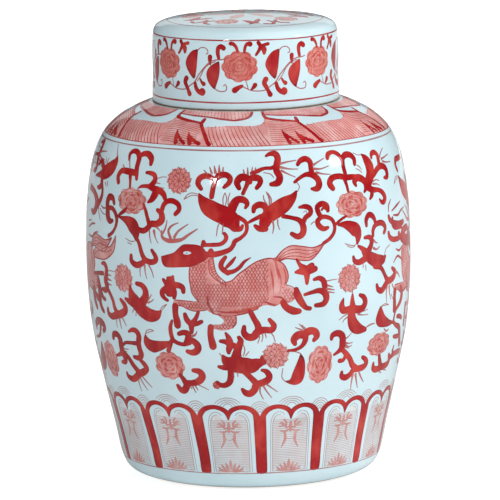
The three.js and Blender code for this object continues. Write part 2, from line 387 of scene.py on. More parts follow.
        ((-42.8, 152.4, 1), (-42.6, 149.8, 0.7)),
        ((-32.8, 155.4, 0.7), (-31.8, 158.4, 0.8), (-30, 160.6, 0.7)),
        ((-32.2, 155.4, 0.6), (-31.2, 157.6, 0.7), (-30, 160.4, 0.6)),
    )),
    # maple sprig under the chin
    dict(round=True, red=(
        ((-28.2, 178.6, 7), (-28.4, 172.6, 9.5), (-28.6, 171, 8)), ((-27.2, 182.4, 2), (-27.6, 178, 4.4)),
        ((-29.2, 181, 2.2), (-28.8, 177.4, 4)), ((-31, 179.4, 2.4), (-29.8, 176.6, 4)),
        ((-28, 175.6, 5), (-25.4, 176, 4.2), (-23.6, 174.4, 4), (-23.3, 171.2, 3.2)),
        ((-27.4, 174, 5), (-26.9, 169.6, 4.6), (-26.9, 166.4, 3)),
        ((-29, 173.4, 5.4), (-31.2, 170.8, 4.6), (-31.6, 168, 4), (-30.8, 165.4, 3), (-29.6, 163.8, 2.4)),
    )),
    # trident right of the raised hoof
    dict(round=True, red=(
        ((-20.8, 140, 2.8), (-20.8, 146.4, 4.6)), ((-21, 146.6, 4), (-22.4, 149.6, 4), (-23, 153.6, 3)),
        ((-20.4, 147.4, 3.6), (-19, 151, 3), (-18, 156, 2.4)),
        ((-20.6, 146.6, 4.4), (-18.6, 147, 3.4), (-17, 148.6, 2.8)),
    )),
    # stem and hooks over the lower peony
    dict(round=True, red=(
        ((-28.2, 148, 2), (-29, 143, 3), (-28.9, 137.4, 3.2), (-28.2, 133, 3.2), (-26.4, 130.8, 3),
         (-24, 130, 2.8), (-21.8, 131.4, 3)),
        ((-29, 132, 3), (-29.8, 128, 3.4), (-30.6, 124, 3.4)),
        ((-25.7, 138.2, 3.2), (-24, 139.4, 3.8), (-22.2, 138.4, 4.4), (-22.4, 134.4, 4.6),
         (-23.4, 131, 3.4)),
        ((-22.4, 134, 4), (-20.4, 133, 4.4), (-18.8, 129.4, 5), (-19.2, 125.6, 5), (-21, 123.8, 4.4),
         (-22.9, 124.6, 3)),
    ), fine=(
        ((-20.6, 137, 2.2), (-19.4, 138.4, 1.4), (-18.8, 141, 0.7)),
    )),
    # double hook right of the lower peony
    dict(round=True, red=(
        ((-28.4, 96, 2.8), (-27.4, 93, 4.2), (-26, 92.4, 5), (-24.8, 95.4, 5), (-24.4, 98.6, 5)),
        ((-26.8, 105, 2.6), (-25.6, 101.4, 3.8), (-24.8, 98, 4.4)),
        ((-24.6, 98.8, 4.4), (-22, 99, 4.4), (-19.4, 101, 5), (-18, 104.8, 5), (-18.9, 108.6, 4.6),
         (-21.2, 109.4, 3.2)),
    ), fine=(
        ((-23.4, 97, 1.2), (-22.6, 94.2, 0.8)), ((-22.4, 97, 1.4), (-21.2, 91.4, 0.8)),
        ((-21.4, 97.6, 1.4), (-20.2, 93.4, 0.8)), ((-20.4, 98, 1), (-18.4, 96.4, 0.9), (-16, 94, 0.7)),
    )),
    # crossed hooks left of the lower peony
    dict(round=True, red=(
        ((-48.6, 135.4, 1.8), (-46.6, 137.2, 3.2), (-44.6, 136.8, 4.2), (-43.5, 133, 4.6), (-44, 128, 4.6),
         (-43.9, 123, 4.6), (-43.4, 118.6, 4.8), (-44.8, 115.2, 4.2), (-47.4, 115.4, 2.8)),
        ((-44, 127, 3.6), (-47.4, 126.6, 2.8), (-51, 126, 2.4), (-53, 123.6, 2.2)),
        ((-59, 127.4, 3.2), (-58.2, 130.6, 4.2), (-56, 131.2, 4.6), (-54.4, 128, 5), (-54.3, 122.4, 5.4),
         (-54, 117.6, 6), (-53, 113, 5), (-53.6, 110, 4.4), (-55.4, 109, 2.6)),
        ((-54.4, 117, 3.6), (-56.6, 114.8, 2.8), (-58.8, 113.4, 1.6)),
        ((-52.6, 117, 3.6), (-50.6, 113.4, 4), (-48.8, 108.4, 4.4), (-46.8, 104.4, 4.6)),
        ((-53.7, 100.6, 2.6), (-53.2, 98, 4), (-50.8, 96.6, 4.6), (-48.4, 98.6, 5), (-46.2, 102, 5.4),
         (-43.8, 104, 5), (-41.8, 107.2, 4.4), (-42.8, 111, 4.2), (-44.8, 114, 2.6)),
    ), fine=(
        ((-53.2, 121, 0.9), (-51.6, 120.6, 0.9), (-50, 121, 0.7)), ((-53, 119, 1), (-51.4, 118.6, 0.8)),
        ((-47.4, 99, 1.6), (-47.4, 93.6, 1.2), (-46.8, 87.6, 0.7)),
        ((-46.2, 99, 1.6), (-45, 94, 1.2), (-43.2, 89.4, 0.7)),
        ((-45, 100.4, 1.4), (-43, 96.4, 1.2), (-40.7, 92.2, 0.7)),
    )),
    # half leaf over the lower peony
    dict(round=True, red=(
    ), fills=(
        ((-40.2, 135.5), (-39.2, 133), (-37.4, 131.4), (-34, 131.2), (-28.8, 132), (-29.8, 128.8),
         (-32, 125.4), (-34.8, 122.6), (-37.2, 121.3), (-39.8, 123.4), (-41.2, 127.4), (-41.2, 131.6)),
    ), fine=(
        ((-40.2, 135.6, 0.7), (-39.4, 138.2, 0.8), (-37.6, 139.6, 0.8), (-36.2, 138.8, 0.7)),
        ((-40, 135.8, 0.6), (-38.6, 137.2, 0.8), (-36.2, 138.8, 0.6)),
    )),
    # half leaf at the far left, low down
    dict(round=False, red=(
        ((-70.9, 119.6, 2.4), (-71.6, 113, 7.4), (-73, 106, 11.6), (-76, 101, 9.4), (-79, 98.6, 5)),
        ((-74.2, 130.6, 3), (-74, 134.4, 5), (-70.4, 137.4, 5.4), (-66.6, 137, 5.4), (-65, 133.8, 4.8),
         (-66.6, 130.6, 3.4)),
        ((-68.6, 135, 3.6), (-69.8, 130, 3.4), (-71, 126.4, 3), (-73.6, 124, 2.4), (-77, 122.8, 1.6)),
    )),
    # double hook under the belly
    dict(round=True, red=(
        ((0.3, 157, 3.6), (1.5, 151.6, 3.8), (2.8, 146.4, 4.4), (3.2, 142.4, 5)),
        ((-1.9, 145, 2.8), (-2, 140.4, 4.2), (-0.6, 137, 5), (1.4, 137.2, 5.2), (2.9, 141, 5.4),
         (5.2, 142.2, 4.6), (7.6, 142, 4.4), (8.5, 145.4, 4), (7, 150, 2.8)),
    ), fine=(
        ((3.2, 139.4, 1.4), (3.4, 136, 0.9), (2.8, 132, 0.7)),
        ((4.4, 139.8, 1.2), (4.6, 136.6, 0.8), (4.2, 133, 0.7)), ((5.4, 140.2, 1), (5.8, 136, 0.7)),
        ((7.2, 140.4, 0.9), (8.4, 137, 0.8), (9, 132.4, 0.7)),
        ((-2.4, 131, 0.7), (-1.8, 127, 0.9), (-2.4, 122, 0.8)), ((-0.4, 125.4, 0.7), (-1.6, 122, 0.9)),
    )),
    # lying leaf with prongs, low in the middle
    dict(round=True, red=(
        ((-8.4, 140, 1.8), (-7.4, 136, 3.8), (-7, 131.4, 4.6), (-7.5, 127, 4), (-7.6, 124.6, 2.6)),
        ((-10.3, 133.6, 2.6), (-8.6, 133.2, 3.6), (-7, 131, 4)),
        ((-7, 131, 3.6), (-5.6, 130.4, 3.8), (-4.6, 127.4, 4)),
        ((-3.8, 136.6, 2.8), (-3.2, 134, 4), (-3.8, 130, 4.6), (-4.6, 125, 5.6), (-5, 119, 8)),
        ((-9.7, 121.6, 2.6), (-8.8, 118.6, 6.4), (-6.6, 115.8, 11), (-3, 114.4, 11.6), (0.4, 114, 10.6),
         (2.8, 115.8, 7.4), (4.8, 116.6, 4)),
        ((4.2, 121.6, 1.4), (4.3, 118.4, 3.4), (5.1, 115.4, 1.8)),
        ((-11.4, 113.2, 2.4), (-9.8, 112.6, 3.8), (-7.6, 113.4, 6)),
        ((-7.2, 112, 4), (-7.2, 105.6, 4.4), (-7.8, 100.6, 4.4), (-9.6, 98, 3.8), (-11.4, 98.4, 3.4),
         (-12.4, 100.2, 3)),
        ((-2.2, 109.4, 4), (0, 104.6, 4), (1.8, 100.4, 4.6)),
        ((-3, 94.6, 2.6), (-1.9, 92, 4.4), (-0.2, 91.2, 5), (1.4, 94, 5), (2.2, 98, 5.4), (4.2, 99.8, 5),
         (6.4, 102, 5), (7, 105.4, 4.4), (5.9, 109, 3.8), (4.4, 110.2, 2.4)),
    ), fine=(
        ((3.6, 96.6, 1.6), (3.6, 92, 1.2), (4.8, 86.4, 0.7)),
        ((4.8, 97.4, 1.6), (6, 93, 1.2), (8, 87.4, 0.7)), ((6, 98.6, 1.6), (7.6, 96, 1.2), (10.2, 92, 0.7)),
        ((-6.2, 109, 1), (-6, 104.6, 0.7)), ((-4.6, 109, 1), (-4.6, 105.4, 0.7)),
        ((-11, 124, 0.8), (-10, 121.6, 0.8)),
    )),
    # pair of hooks and the half leaf hanging from it
    dict(round=True, red=(
        ((16.2, 130, 3), (15.8, 133.4, 5), (17.2, 136.8, 5.6), (19.4, 137.2, 5.6), (21.6, 139.4, 5.4),
         (23.6, 138.6, 5), (24.4, 135, 4.6), (23.4, 132, 3)),
        ((20, 138, 4.4), (20, 132.4, 4), (18.8, 128, 3), (16.6, 125.6, 2.4), (13.8, 125, 2)),
    ), fills=(
        ((18.6, 122), (20, 117.4), (20.5, 110), (20.3, 103), (19.3, 98.6), (17, 96.7), (14.6, 98),
         (12.8, 100.6), (14.8, 101.6), (15.8, 107.4), (17.1, 114.6), (18.2, 121)),
    ), fine=(
        ((19.6, 141, 1.4), (17.6, 145.6, 0.7)), ((18.8, 140.6, 1.4), (16.2, 143, 0.7)),
        ((20.2, 141.4, 0.8), (18.6, 144.6, 0.7)), ((12.9, 100.4, 0.7), (11.7, 104, 0.8), (12, 111, 0.7)),
        ((18.5, 122, 0.9), (16.6, 123.8, 0.9), (14, 124.4, 0.8)),
    )),
    # crossed petals under the tail
    dict(round=True, red=(
        ((16.8, 195.2, 1.8), (18, 191, 3), (19.6, 187.4, 5.6), (20.4, 183.6, 4.6), (20.4, 176.6, 2.4)),
        ((16.4, 185.6, 2), (18, 186, 4.4), (20, 186.4, 6.4), (22, 186.8, 5.6), (23.4, 187.2, 4.4)),
        ((20.8, 187.4, 5), (22.3, 190, 4)), ((19.4, 188.4, 1.2), (20.6, 189.6, 1.2)),
    )),
    # hook behind the hind legs
    dict(round=True, red=(
        ((23.1, 179, 2.2), (25, 179.8, 3.4), (26.6, 177.6, 4), (27.2, 173.4, 4.4)),
        ((19.6, 168, 2.2), (22.4, 169.4, 2.8), (25, 170.2, 3.8), (27.2, 168, 5), (27.8, 163.4, 4.6),
         (26.6, 159.6, 4), (23.8, 159, 3)),
    ), fine=(
        ((28, 177, 1), (30, 177.4, 0.8), (32, 177.6, 0.6)), ((27.6, 174, 2), (30.4, 172, 0.8)),
        ((28, 171, 2), (31, 169.6, 0.8)), ((28.2, 168.6, 1.6), (31, 167.4, 0.8)),
    )),
    # trident leaf right of the hind legs
    dict(round=True, red=(
        ((34.8, 161.6, 1.6), (34.2, 157, 4.4), (34.8, 153, 5.2), (37, 153, 4.6), (38.6, 154.6, 4)),
        ((38.8, 164, 1.8), (38.8, 158.4, 4), (39.2, 152.6, 6)),
        ((42.3, 162.8, 2.6), (44.2, 160.6, 4), (45, 156.4, 4.6), (43.8, 152.4, 5), (41.4, 151.8, 5.6),
         (39, 153.6, 5)),
        ((38.7, 151.6, 5.6), (38.8, 145.4, 7.4), (40, 139.8, 9), (42.4, 136.4, 7.6), (45.6, 135, 3.6)),
    ), fine=(
        ((36.8, 149.6, 1.2), (35, 148, 0.9), (33.2, 145.6, 0.7)),
        ((36.8, 147, 1.4), (35.4, 145.4, 0.9), (34.8, 143.4, 0.7)),
        ((41.6, 149.8, 1.8), (44, 149.6, 0.9), (46.4, 150.6, 0.7)),
        ((41.8, 148, 1.8), (44, 146.8, 0.9), (46.6, 146.6, 0.7)),
        ((46.2, 136.6, 0.9), (48.2, 138.4, 0.7), (50.8, 138.4, 0.7)),
        ((46.2, 136.4, 0.7), (48, 137.4, 0.7), (50.8, 138.2, 0.6)), ((38.8, 168, 0.9), (38.8, 164, 1)),
    )),
    # hook, stem and double hook right of the oval peony
    dict(round=False, red=(
        ((30.4, 131.4, 2.6), (30.9, 134.4, 4), (33, 135.4, 4.6), (34.9, 132.8, 5), (35.3, 127.6, 5.2),
         (35, 123, 4.6), (33.6, 120.4, 3), (32, 118.6, 2)),
        ((35.4, 122, 3.4), (37.4, 117.8, 4), (39.4, 113.4, 4), (41, 108, 4.4), (43, 104.8, 4.6)),
        ((34.7, 113, 3.4), (36.2, 113, 3), (37, 115.6, 3)),
        ((36.3, 103.2, 2.6), (36.5, 100, 4), (38.5, 98.4, 4.6), (40.6, 100.4, 4.4), (42, 103.6, 4.6),
         (44.6, 104, 4.8), (47.2, 104.6, 5), (48.5, 107.4, 4.2), (47.6, 110.6, 3.8), (45.9, 112.8, 2.8)),
    ), fine=(
        ((36.4, 130, 1.6), (37.8, 131.6, 0.9), (39, 134, 0.7)),
        ((37, 126.6, 2), (38.2, 126, 1), (39.8, 126.4, 0.8)),
        ((37, 124.6, 2), (38.2, 123.4, 1), (39.6, 124, 0.8)), ((36.8, 123.4, 1.4), (38.4, 122.2, 0.7)),
        ((42, 99.6, 2.4), (41.8, 93, 1.4), (42, 87.4, 0.7)),
        ((43.4, 99.6, 2.4), (44.4, 94, 1.4), (45.6, 88, 0.7)),
        ((45.2, 100.6, 2), (46.8, 96, 1.4), (48.6, 92, 0.7)),
    )),
    # half leaf and the stems at the far right
    dict(round=False, red=(
        ((68.6, 160.6, 4), (70, 156.4, 5), (69.8, 151.6, 5), (68, 147.8, 4), (65.4, 144.4, 2.8),
         (64.3, 140, 2.4), (63.8, 135.6, 2.4)),
        ((63.6, 135.4, 3), (66.4, 131.8, 3.4), (69.6, 129.4, 4.4), (71.4, 125.4, 4.8), (72.8, 119, 5),
         (74.6, 113.6, 4.4)),
        ((65.6, 123, 2.6), (68.4, 122, 3.6), (71.6, 122, 3.4)),
        ((67, 138.4, 3), (69.6, 137.6, 3.4), (72, 135.6, 3)),
        ((53, 105.4, 2.6), (53.3, 101.8, 4.2), (55.4, 99.8, 4.8), (58.2, 100.4, 5), (61.4, 100.6, 5),
         (64.2, 101.6, 5), (65, 105, 4.6), (63.8, 109, 3)),
        ((56.2, 110.6, 3.2), (57.2, 106, 4), (58.4, 102, 4.6)),
        ((65, 105.6, 4), (68, 107.4, 4.4), (72, 108, 4.4), (78, 107, 4)),
        ((67.4, 114.6, 2), (67, 110.6, 3), (68.4, 107.6, 3.4)),
    ), fills=(
        ((53.8, 151), (55.3, 147), (57, 142.6), (60, 138.6), (64, 135), (60, 133), (55.4, 133.6),
         (52.6, 135.6), (51.3, 140), (52, 146)),
    ), fine=(
        ((54.4, 150.8, 0.9), (56.6, 151.8, 0.8), (59, 150.4, 0.7)),
        ((54.6, 150.4, 0.7), (57, 150.6, 0.7), (59, 150.2, 0.6)),
        ((57, 132, 0.9), (58.8, 129.6, 1.6), (60.4, 130.4, 1)), ((58, 97.6, 1.4), (60, 95.4, 0.8)),
        ((61, 98, 1.2), (64, 96.4, 0.8)),
    )),
)

# Flowers on the belly: repeated round the back or not, kind, degrees, up, half width, half height
FLOWERS = (
    (True, "peony", -45.8, 237, 7.4, 10.4), (False, "peony", 40, 233, 7.4, 10.4),
    (True, "peony", -30.8, 112, 6.4, 11.5), (True, "peony", 26.3, 112, 5.2, 15.5),
    (False, "peony", 55, 120.5, 7.3, 9.5), (False, "peony", -64, 109, 5.7, 15),
    (True, "peony", -12.7, 98, 1.6, 3.2), (True, "star", -25.4, 255.5, 10.3, 0),
    (False, "star", -49.7, 177, 11, 0), (True, "star", 37.5, 177, 11, 0),
    (True, "star", 9.2, 121.5, 10.4, 0),
)

# The running beast: filled shapes, then lines, limbs, head and smoke
BEAST_BODY = (
    ((-20.8, 190), (-21, 182), (-20.6, 176), (-20, 170), (-17.5, 163.5), (-15, 158), (-12.5, 155),
     (-8, 153.4), (-5, 153.7), (-2, 155), (2, 157.5), (4, 160.5), (6, 161.5), (9, 160.4), (12, 164),
     (14, 168), (15.5, 172.5), (12.8, 177), (13.7, 182), (13.2, 188), (11.5, 193.5), (9.5, 196), (8, 197),
     (5, 196.5), (2, 194), (-1, 189.5), (-3.5, 185.5), (-6, 180.5), (-9, 179), (-10, 182.5), (-11.6, 188),
     (-12.6, 198), (-17, 195)),
    ((-26.8, 164.5), (-23, 164.6), (-20, 164), (-16, 165), (-13, 162), (-15, 157.5), (-19, 156.5),
     (-22, 158), (-24, 160), (-27.2, 160)),
    ((-12, 157), (-5, 154.5), (-4.6, 148), (-6, 144), (-9, 142), (-12, 143), (-14.5, 144.5), (-13, 146.5),
     (-10, 147), (-9, 150), (-11, 154)),
    ((10, 164), (14, 162.5), (16.5, 167), (15.6, 173), (11, 176), (7, 170)),
)
BEAST_TAIL = (
    ((9.5, 197), (12, 203), (15, 206), (19, 205), (23, 203.5), (27, 205.8), (25.5, 200), (23, 195.5),
     (20, 194), (16, 195.5), (13, 196.3), (10.6, 194.6)),
)
BEAST_LINES = (
    ((-20.8, 190, 0.9), (-21, 182, 0.9), (-20.6, 176, 0.9), (-20, 170, 0.9), (-17.6, 163.5, 0.8)),
    ((-9, 179, 0.9), (-6, 180.5, 1), (-3.5, 185.5, 1.1), (-1, 189.5, 1.1), (2, 194, 1), (5, 196.5, 1),
     (8, 197, 1.1), (11.5, 193.5, 0.9), (13.2, 188, 0.9), (13.7, 182, 0.9), (12.8, 177, 0.8)),
    ((-12.5, 155, 0.9), (-8, 153.4, 0.9), (-2, 155, 0.9), (3, 158.8, 0.9)),
    ((-12, 157.5, 0.8), (-6, 156, 1.6), (-1, 157.5, 0.8)), ((-26.8, 164.5, 0.8), (-20, 164, 0.8)),
    ((-27, 160, 0.8), (-24, 160, 0.8), (-22, 158, 0.8), (-19, 156.5, 0.8), (-15, 158, 0.8)),
    ((-14.6, 168, 1.6), (-14.2, 162, 2.6), (-12.6, 155.6, 2)),
    ((8.5, 167.7, 1), (11, 167, 1.8), (12.7, 164.3, 1)),
    ((5.5, 164.7, 0.9), (7, 162.5, 1.5), (9.4, 161.1, 0.9)),
    ((-5, 153.5, 0.8), (-4.6, 148, 0.8), (-6, 144, 0.8)),
    ((13, 176.4, 0.7), (15.5, 174, 0.7), (16, 169, 0.7)),
    ((9.5, 197, 1.4), (12, 203, 0.9), (15, 206, 0.9), (19, 205, 0.9), (23, 203.5, 0.9), (27.2, 206, 1.6)),
    ((10.6, 194.6, 1.2), (13, 196.3, 0.9), (16, 195.5, 0.9), (20, 194, 0.9), (23, 195.5, 0.9),
     (27, 205, 1)),
    ((10.2, 196.6, 0.7), (13, 201.6, 0.7), (16.4, 203.2, 0.7), (20, 201.8, 0.7), (24, 201.4, 0.7)),
    ((10.4, 196, 0.7), (13.4, 199.8, 0.7), (17, 200.6, 0.7), (21, 198.8, 0.7), (24.6, 200.6, 0.7)),
    ((10.6, 195.6, 0.7), (14, 198, 0.7), (17.4, 197.8, 0.7), (21, 196.2, 0.7), (24.4, 199, 0.7)),
)
BEAST_LIMBS = (
    ((-26.6, 159.5, 5.5), (-26.7, 154, 5), (-26.2, 148, 6), (-26.1, 145, 6)),
    ((-13.7, 144.5, 5), (-13.9, 138, 5), (-13.3, 131, 6), (-13.2, 129.5, 6)),
    ((11.8, 163, 5), (13, 159, 5.5), (15.5, 156, 6), (17.5, 155.5, 4.5)),
    ((16.5, 172.5, 4), (17, 168, 6), (18.3, 162.5, 5.5), (20, 158, 4), (21.5, 157, 3.5)),
    ((-7.2, 186.5, 4), (-9.3, 190, 4), (-9.4, 194, 4), (-8, 198.5, 3)),
    ((-8, 190, 2), (-6, 194.5, 3), (-4.5, 198.5, 1.4)),
    ((-7.2, 186.8, 4), (-5, 188, 3.2), (-3, 191, 3), (-1.5, 195, 2.4), (0.7, 198, 0.8)),
)
HEAD = (
    ((-31.8, 196.5), (-31.2, 191.5), (-29.5, 189.2), (-24, 189.8), (-19.8, 190.8), (-17.5, 193), (-15, 196),
     (-14, 199), (-15.5, 204.8), (-17.3, 207.2), (-20.5, 207.8), (-23.2, 207.2), (-25.2, 203.8),
     (-26.8, 200.8), (-29.8, 198.6), (-31.3, 197.6)),
)
HORNS = (
    ((-15.6, 209.6, 3.6), (-15.7, 207.4, 3.6)), ((-13, 203, 4.4), (-13.6, 201, 3.6)),
    ((-16, 207.5, 3), (-12, 207.8, 3.2), (-9.5, 208.5, 3.2), (-8, 211, 3.2), (-7.6, 214, 3.4),
     (-8.2, 216.4, 2.8)),
)
BEAST_SHADES = (
    ((9, 196.5, 2.4), (9.9, 189, 2.8), (10.4, 181, 1.2)), ((7.4, 190, 0.8), (8.3, 180, 2), (8.4, 170, 0.8)),
    ((12, 190, 0.8), (12.9, 183, 1.4), (12.4, 176.5, 0.8)),
    ((5, 186, 0.8), (6.2, 176, 1.4), (6.6, 166, 0.8)),
    ((-10, 156, 1.4), (-4, 156.6, 4.4), (1, 158.8, 3.4), (3.6, 160.6, 1)),
    ((10.4, 188, 0.7), (11.2, 178, 1.2), (10.4, 169, 0.7)),
    ((-13.6, 197, 1), (-13, 189, 1.6), (-11.2, 182.6, 1.2), (-9, 178.4, 0.8)),
)
# Boxes without scales: low and high corner
PLAIN_COAT = ((6.3, 162, 11.8, 198), (11.8, 175, 14.2, 196), (-9.8, 154.5, 4, 159.6), (-14.4, 178, -9, 200))
EYE = (((-23.2, 200.4), (-22.3, 202.2), (-20.6, 202), (-20.1, 200.8), (-21.6, 199.7)),)
PUPIL = (((-22.1, 201, 0.9), (-21.5, 201, 0.9)),)
MANE = (
    ((-14, 196), (-13.4, 186), (-10.5, 180), (-8, 177)),
    ((-12.3, 198), (-11.5, 188), (-10, 183), (-8, 179.5)),
)
BREATH = (
    ((-31.5, 217, 1), (-31.3, 212, 2.4), (-29, 209.6, 3.4), (-26, 209.9, 3.4), (-23.5, 211.2, 2.6),
     (-21, 215, 2), (-17.8, 219.5, 0.9)),
    ((-28, 212, 2.4), (-28.8, 217, 2), (-27.5, 221, 1.6), (-25, 223.5, 0.8)),
    ((-26.5, 212.5, 2.2), (-24.8, 217.5, 1.8), (-21.3, 222.8, 0.8)),
    ((-31.2, 214.5, 1.8), (-30, 219, 1.4), (-29.4, 225, 0.7)),
)

# What only the beasts at the two sides have: limbs, a tail, smoke and raised horns
SIDE_LIMBS = (
    ((-73, 162, 4), (-72.5, 157, 5), (-71.5, 152, 5.4), (-70.3, 148.5, 4.4)),
    ((-66.7, 166, 5), (-66.3, 160, 5.5), (-66.5, 154, 5), (-65.5, 149.5, 4.6), (-64, 147, 3.4)),
    ((58.8, 206, 3), (59.5, 202.5, 3.8), (62, 200, 3.8), (66, 199.5, 3.8), (69, 201, 3.8), (71, 204, 3.4)),
    ((59.4, 218.5, 3), (60.5, 215, 3.8), (64, 212, 3.8), (68, 210.5, 4), (72, 210.5, 4)),
    ((72, 250.5, 3), (71, 255, 3.6), (72.5, 258.8, 4), (76, 259, 4), (80, 259, 4)),
)
SIDE_TAIL = (
    ((-71.4, 190), (-68, 197.5), (-64, 200), (-60, 198.8), (-57, 199.5), (-55, 203), (-53.6, 207.5),
     (-53.6, 203), (-55, 196), (-57, 191.5), (-60, 189), (-65, 187.5), (-70, 187)),
)
SIDE_LINES = (
    ((-71.4, 190, 1), (-68, 197.5, 1), (-64, 200, 1), (-60, 198.8, 1), (-57, 199.5, 1), (-53.6, 208, 1.4)),
    ((-70, 187.4, 1), (-65, 187.5, 1), (-60, 189, 1), (-55, 196, 1), (-53.7, 205, 1)),
    ((-70, 190, 0.8), (-65, 194.5, 0.8), (-60.5, 194, 0.8), (-56, 197, 0.8)),
    ((-78, 208.5, 1.4), (-73, 212.5, 2), (-69.5, 213.5, 1)), ((-78, 213.5, 1.4), (-74, 215, 1)),
    ((-78, 203, 1.4), (-73, 202.5, 2), (-70, 206, 1.8), (-66.5, 208, 1)),
    ((59.5, 222, 1), (60, 227, 1.6), (62, 231, 0.8)), ((62, 222, 1.2), (66.5, 225, 2), (70, 227, 0.9)),
    ((63, 218.5, 1.2), (67, 217.5, 2.2), (70, 220, 1.8), (74, 221.5, 0.8)),
    ((62, 182, 1), (65, 186, 2), (68, 184, 2), (71, 180, 1)), ((64, 192, 1), (67, 190, 2), (70.5, 193, 1)),
    ((66, 160, 1.4), (70, 157, 2.6), (75, 158.5, 2), (80, 162, 1)),
)


def smooth(points, step, closed=False):
    """A Catmull-Rom line through the points, cut to about one length of step."""
    given = np.array(points, float)
    ends = (given[-1], given[0], given[1]) if closed else (given[0], given[-1], None)
    held = [ends[0], *given, ends[1]] + ([ends[2]] if closed else [])
    rows = []
    for before, start, end, after in zip(held, held[1:], held[2:], held[3:]):
        count = max(1, math.ceil(np.hypot(*(end - start)[:2]) / step))
        t = np.arange(count)[:, None] / count
        bend = (end - before) * t + (2 * before - 5 * start + 4 * end - after) * t**2
        rows.append(start + 0.5 * (bend + (3 * start - before - 3 * end + after) * t**3))
    if not closed:
        rows.append(given[-1:])
    return np.vstack(rows)


class Wall:
    """A turned outside, addressed by degrees round it and by millimetres up along its outline."""

    def __init__(self, outline):
        self.line = smooth(outline, 1.5)
        self.radius, self.height = self.line.T
        self.up = np.concatenate([[0], np.cumsum(np.hypot(*np.diff(self.line, axis=0).T))])
        run, rise = np.gradient(self.radius, self.up), np.gradient(self.height, self.up)
        length = np.hypot(run, rise)
        self.out_r, self.out_z = rise / length, -run / length

    def per_degree(self, up):
        return float(np.interp(up, self.up, self.radius)) * math.pi / 180

    def at(self, degrees, up, lift):
        """Places in metres, lifted off the wall by so many millimetres."""
        out_r, out_z = np.interp(up, self.up, self.out_r), np.interp(up, self.up, self.out_z)
        r = np.interp(up, self.up, self.radius) + lift * out_r
        z = np.interp(up, self.up, self.height) + lift * out_z
        turn = np.radians(degrees)
        return np.stack([r * np.sin(turn), -r * np.cos(turn), z], 1) * MM


def inside(ring, points):
    """Which points lie inside a closed flat outline."""
    hit = np.zeros(len(points), bool)
    for (x0, y0), (x1, y1) in zip(ring, np.roll(ring, -1, axis=0)):
        if y0 == y1:
            continue
        crossing = (y0 > points[:, 1]) != (y1 > points[:, 1])
        hit ^= crossing & (points[:, 0] < (x1 - x0) * (points[:, 1] - y0) / (y1 - y0) + x0)
    return hit


def covered(rings, points):
    """Which points lie inside any of the outlines."""
    held = np.zeros(len(points), bool)
    for ring in rings:
        close = (points >= ring.min(0)).all(1) & (points <= ring.max(0)).all(1)
        near = np.flatnonzero(close & ~held)
        if len(near):
            held[near] = inside(ring, points[near])
    return held


class Patch:
    """Flat painted shapes joined into one skin: triangles, their border, and how deep each point is."""

    def __init__(self, parts, per_degree):
        points, rings = [], []
        for ring, inner in parts:
            rings.append(list(range(len(points), len(points) + len(ring))))
            points.extend(ring)
            points.extend(inner)
        found = delaunay_2d_cdt([Vector(p) for p in points], [], rings, 0, 0.01, False)
        place, triangles = np.array([tuple(p) for p in found[0]]), np.array(found[2])
        kept = triangles[covered([np.array(ring) for ring, _ in parts], place[triangles].mean(1))]
        used = np.unique(kept)
        self.place = place[used]
        self.triangles = np.searchsorted(used, kept)
        sides = np.vstack([self.triangles[:, pair] for pair in ((0, 1), (1, 2), (2, 0))])
        forward = {tuple(s) for s in sides.tolist()}
        self.border = np.array([s for s in forward if (s[1], s[0]) not in forward])
        self.edge = self.depths()
        self.per_degree = per_degree

    def depths(self):
        """Distance from each point to the nearest stretch of the border."""
        start, end = self.place[self.border[:, 0]], self.place[self.border[:, 1]]
        along = end - start
        length = (along**2).sum(1)
        depth = np.empty(len(self.place))
        for i, point in enumerate(self.place):
            share = np.clip(((point - start) * along).sum(1) / length, 0, 1)
            depth[i] = np.hypot(*(start + share[:, None] * along - point).T).min()
        return depth


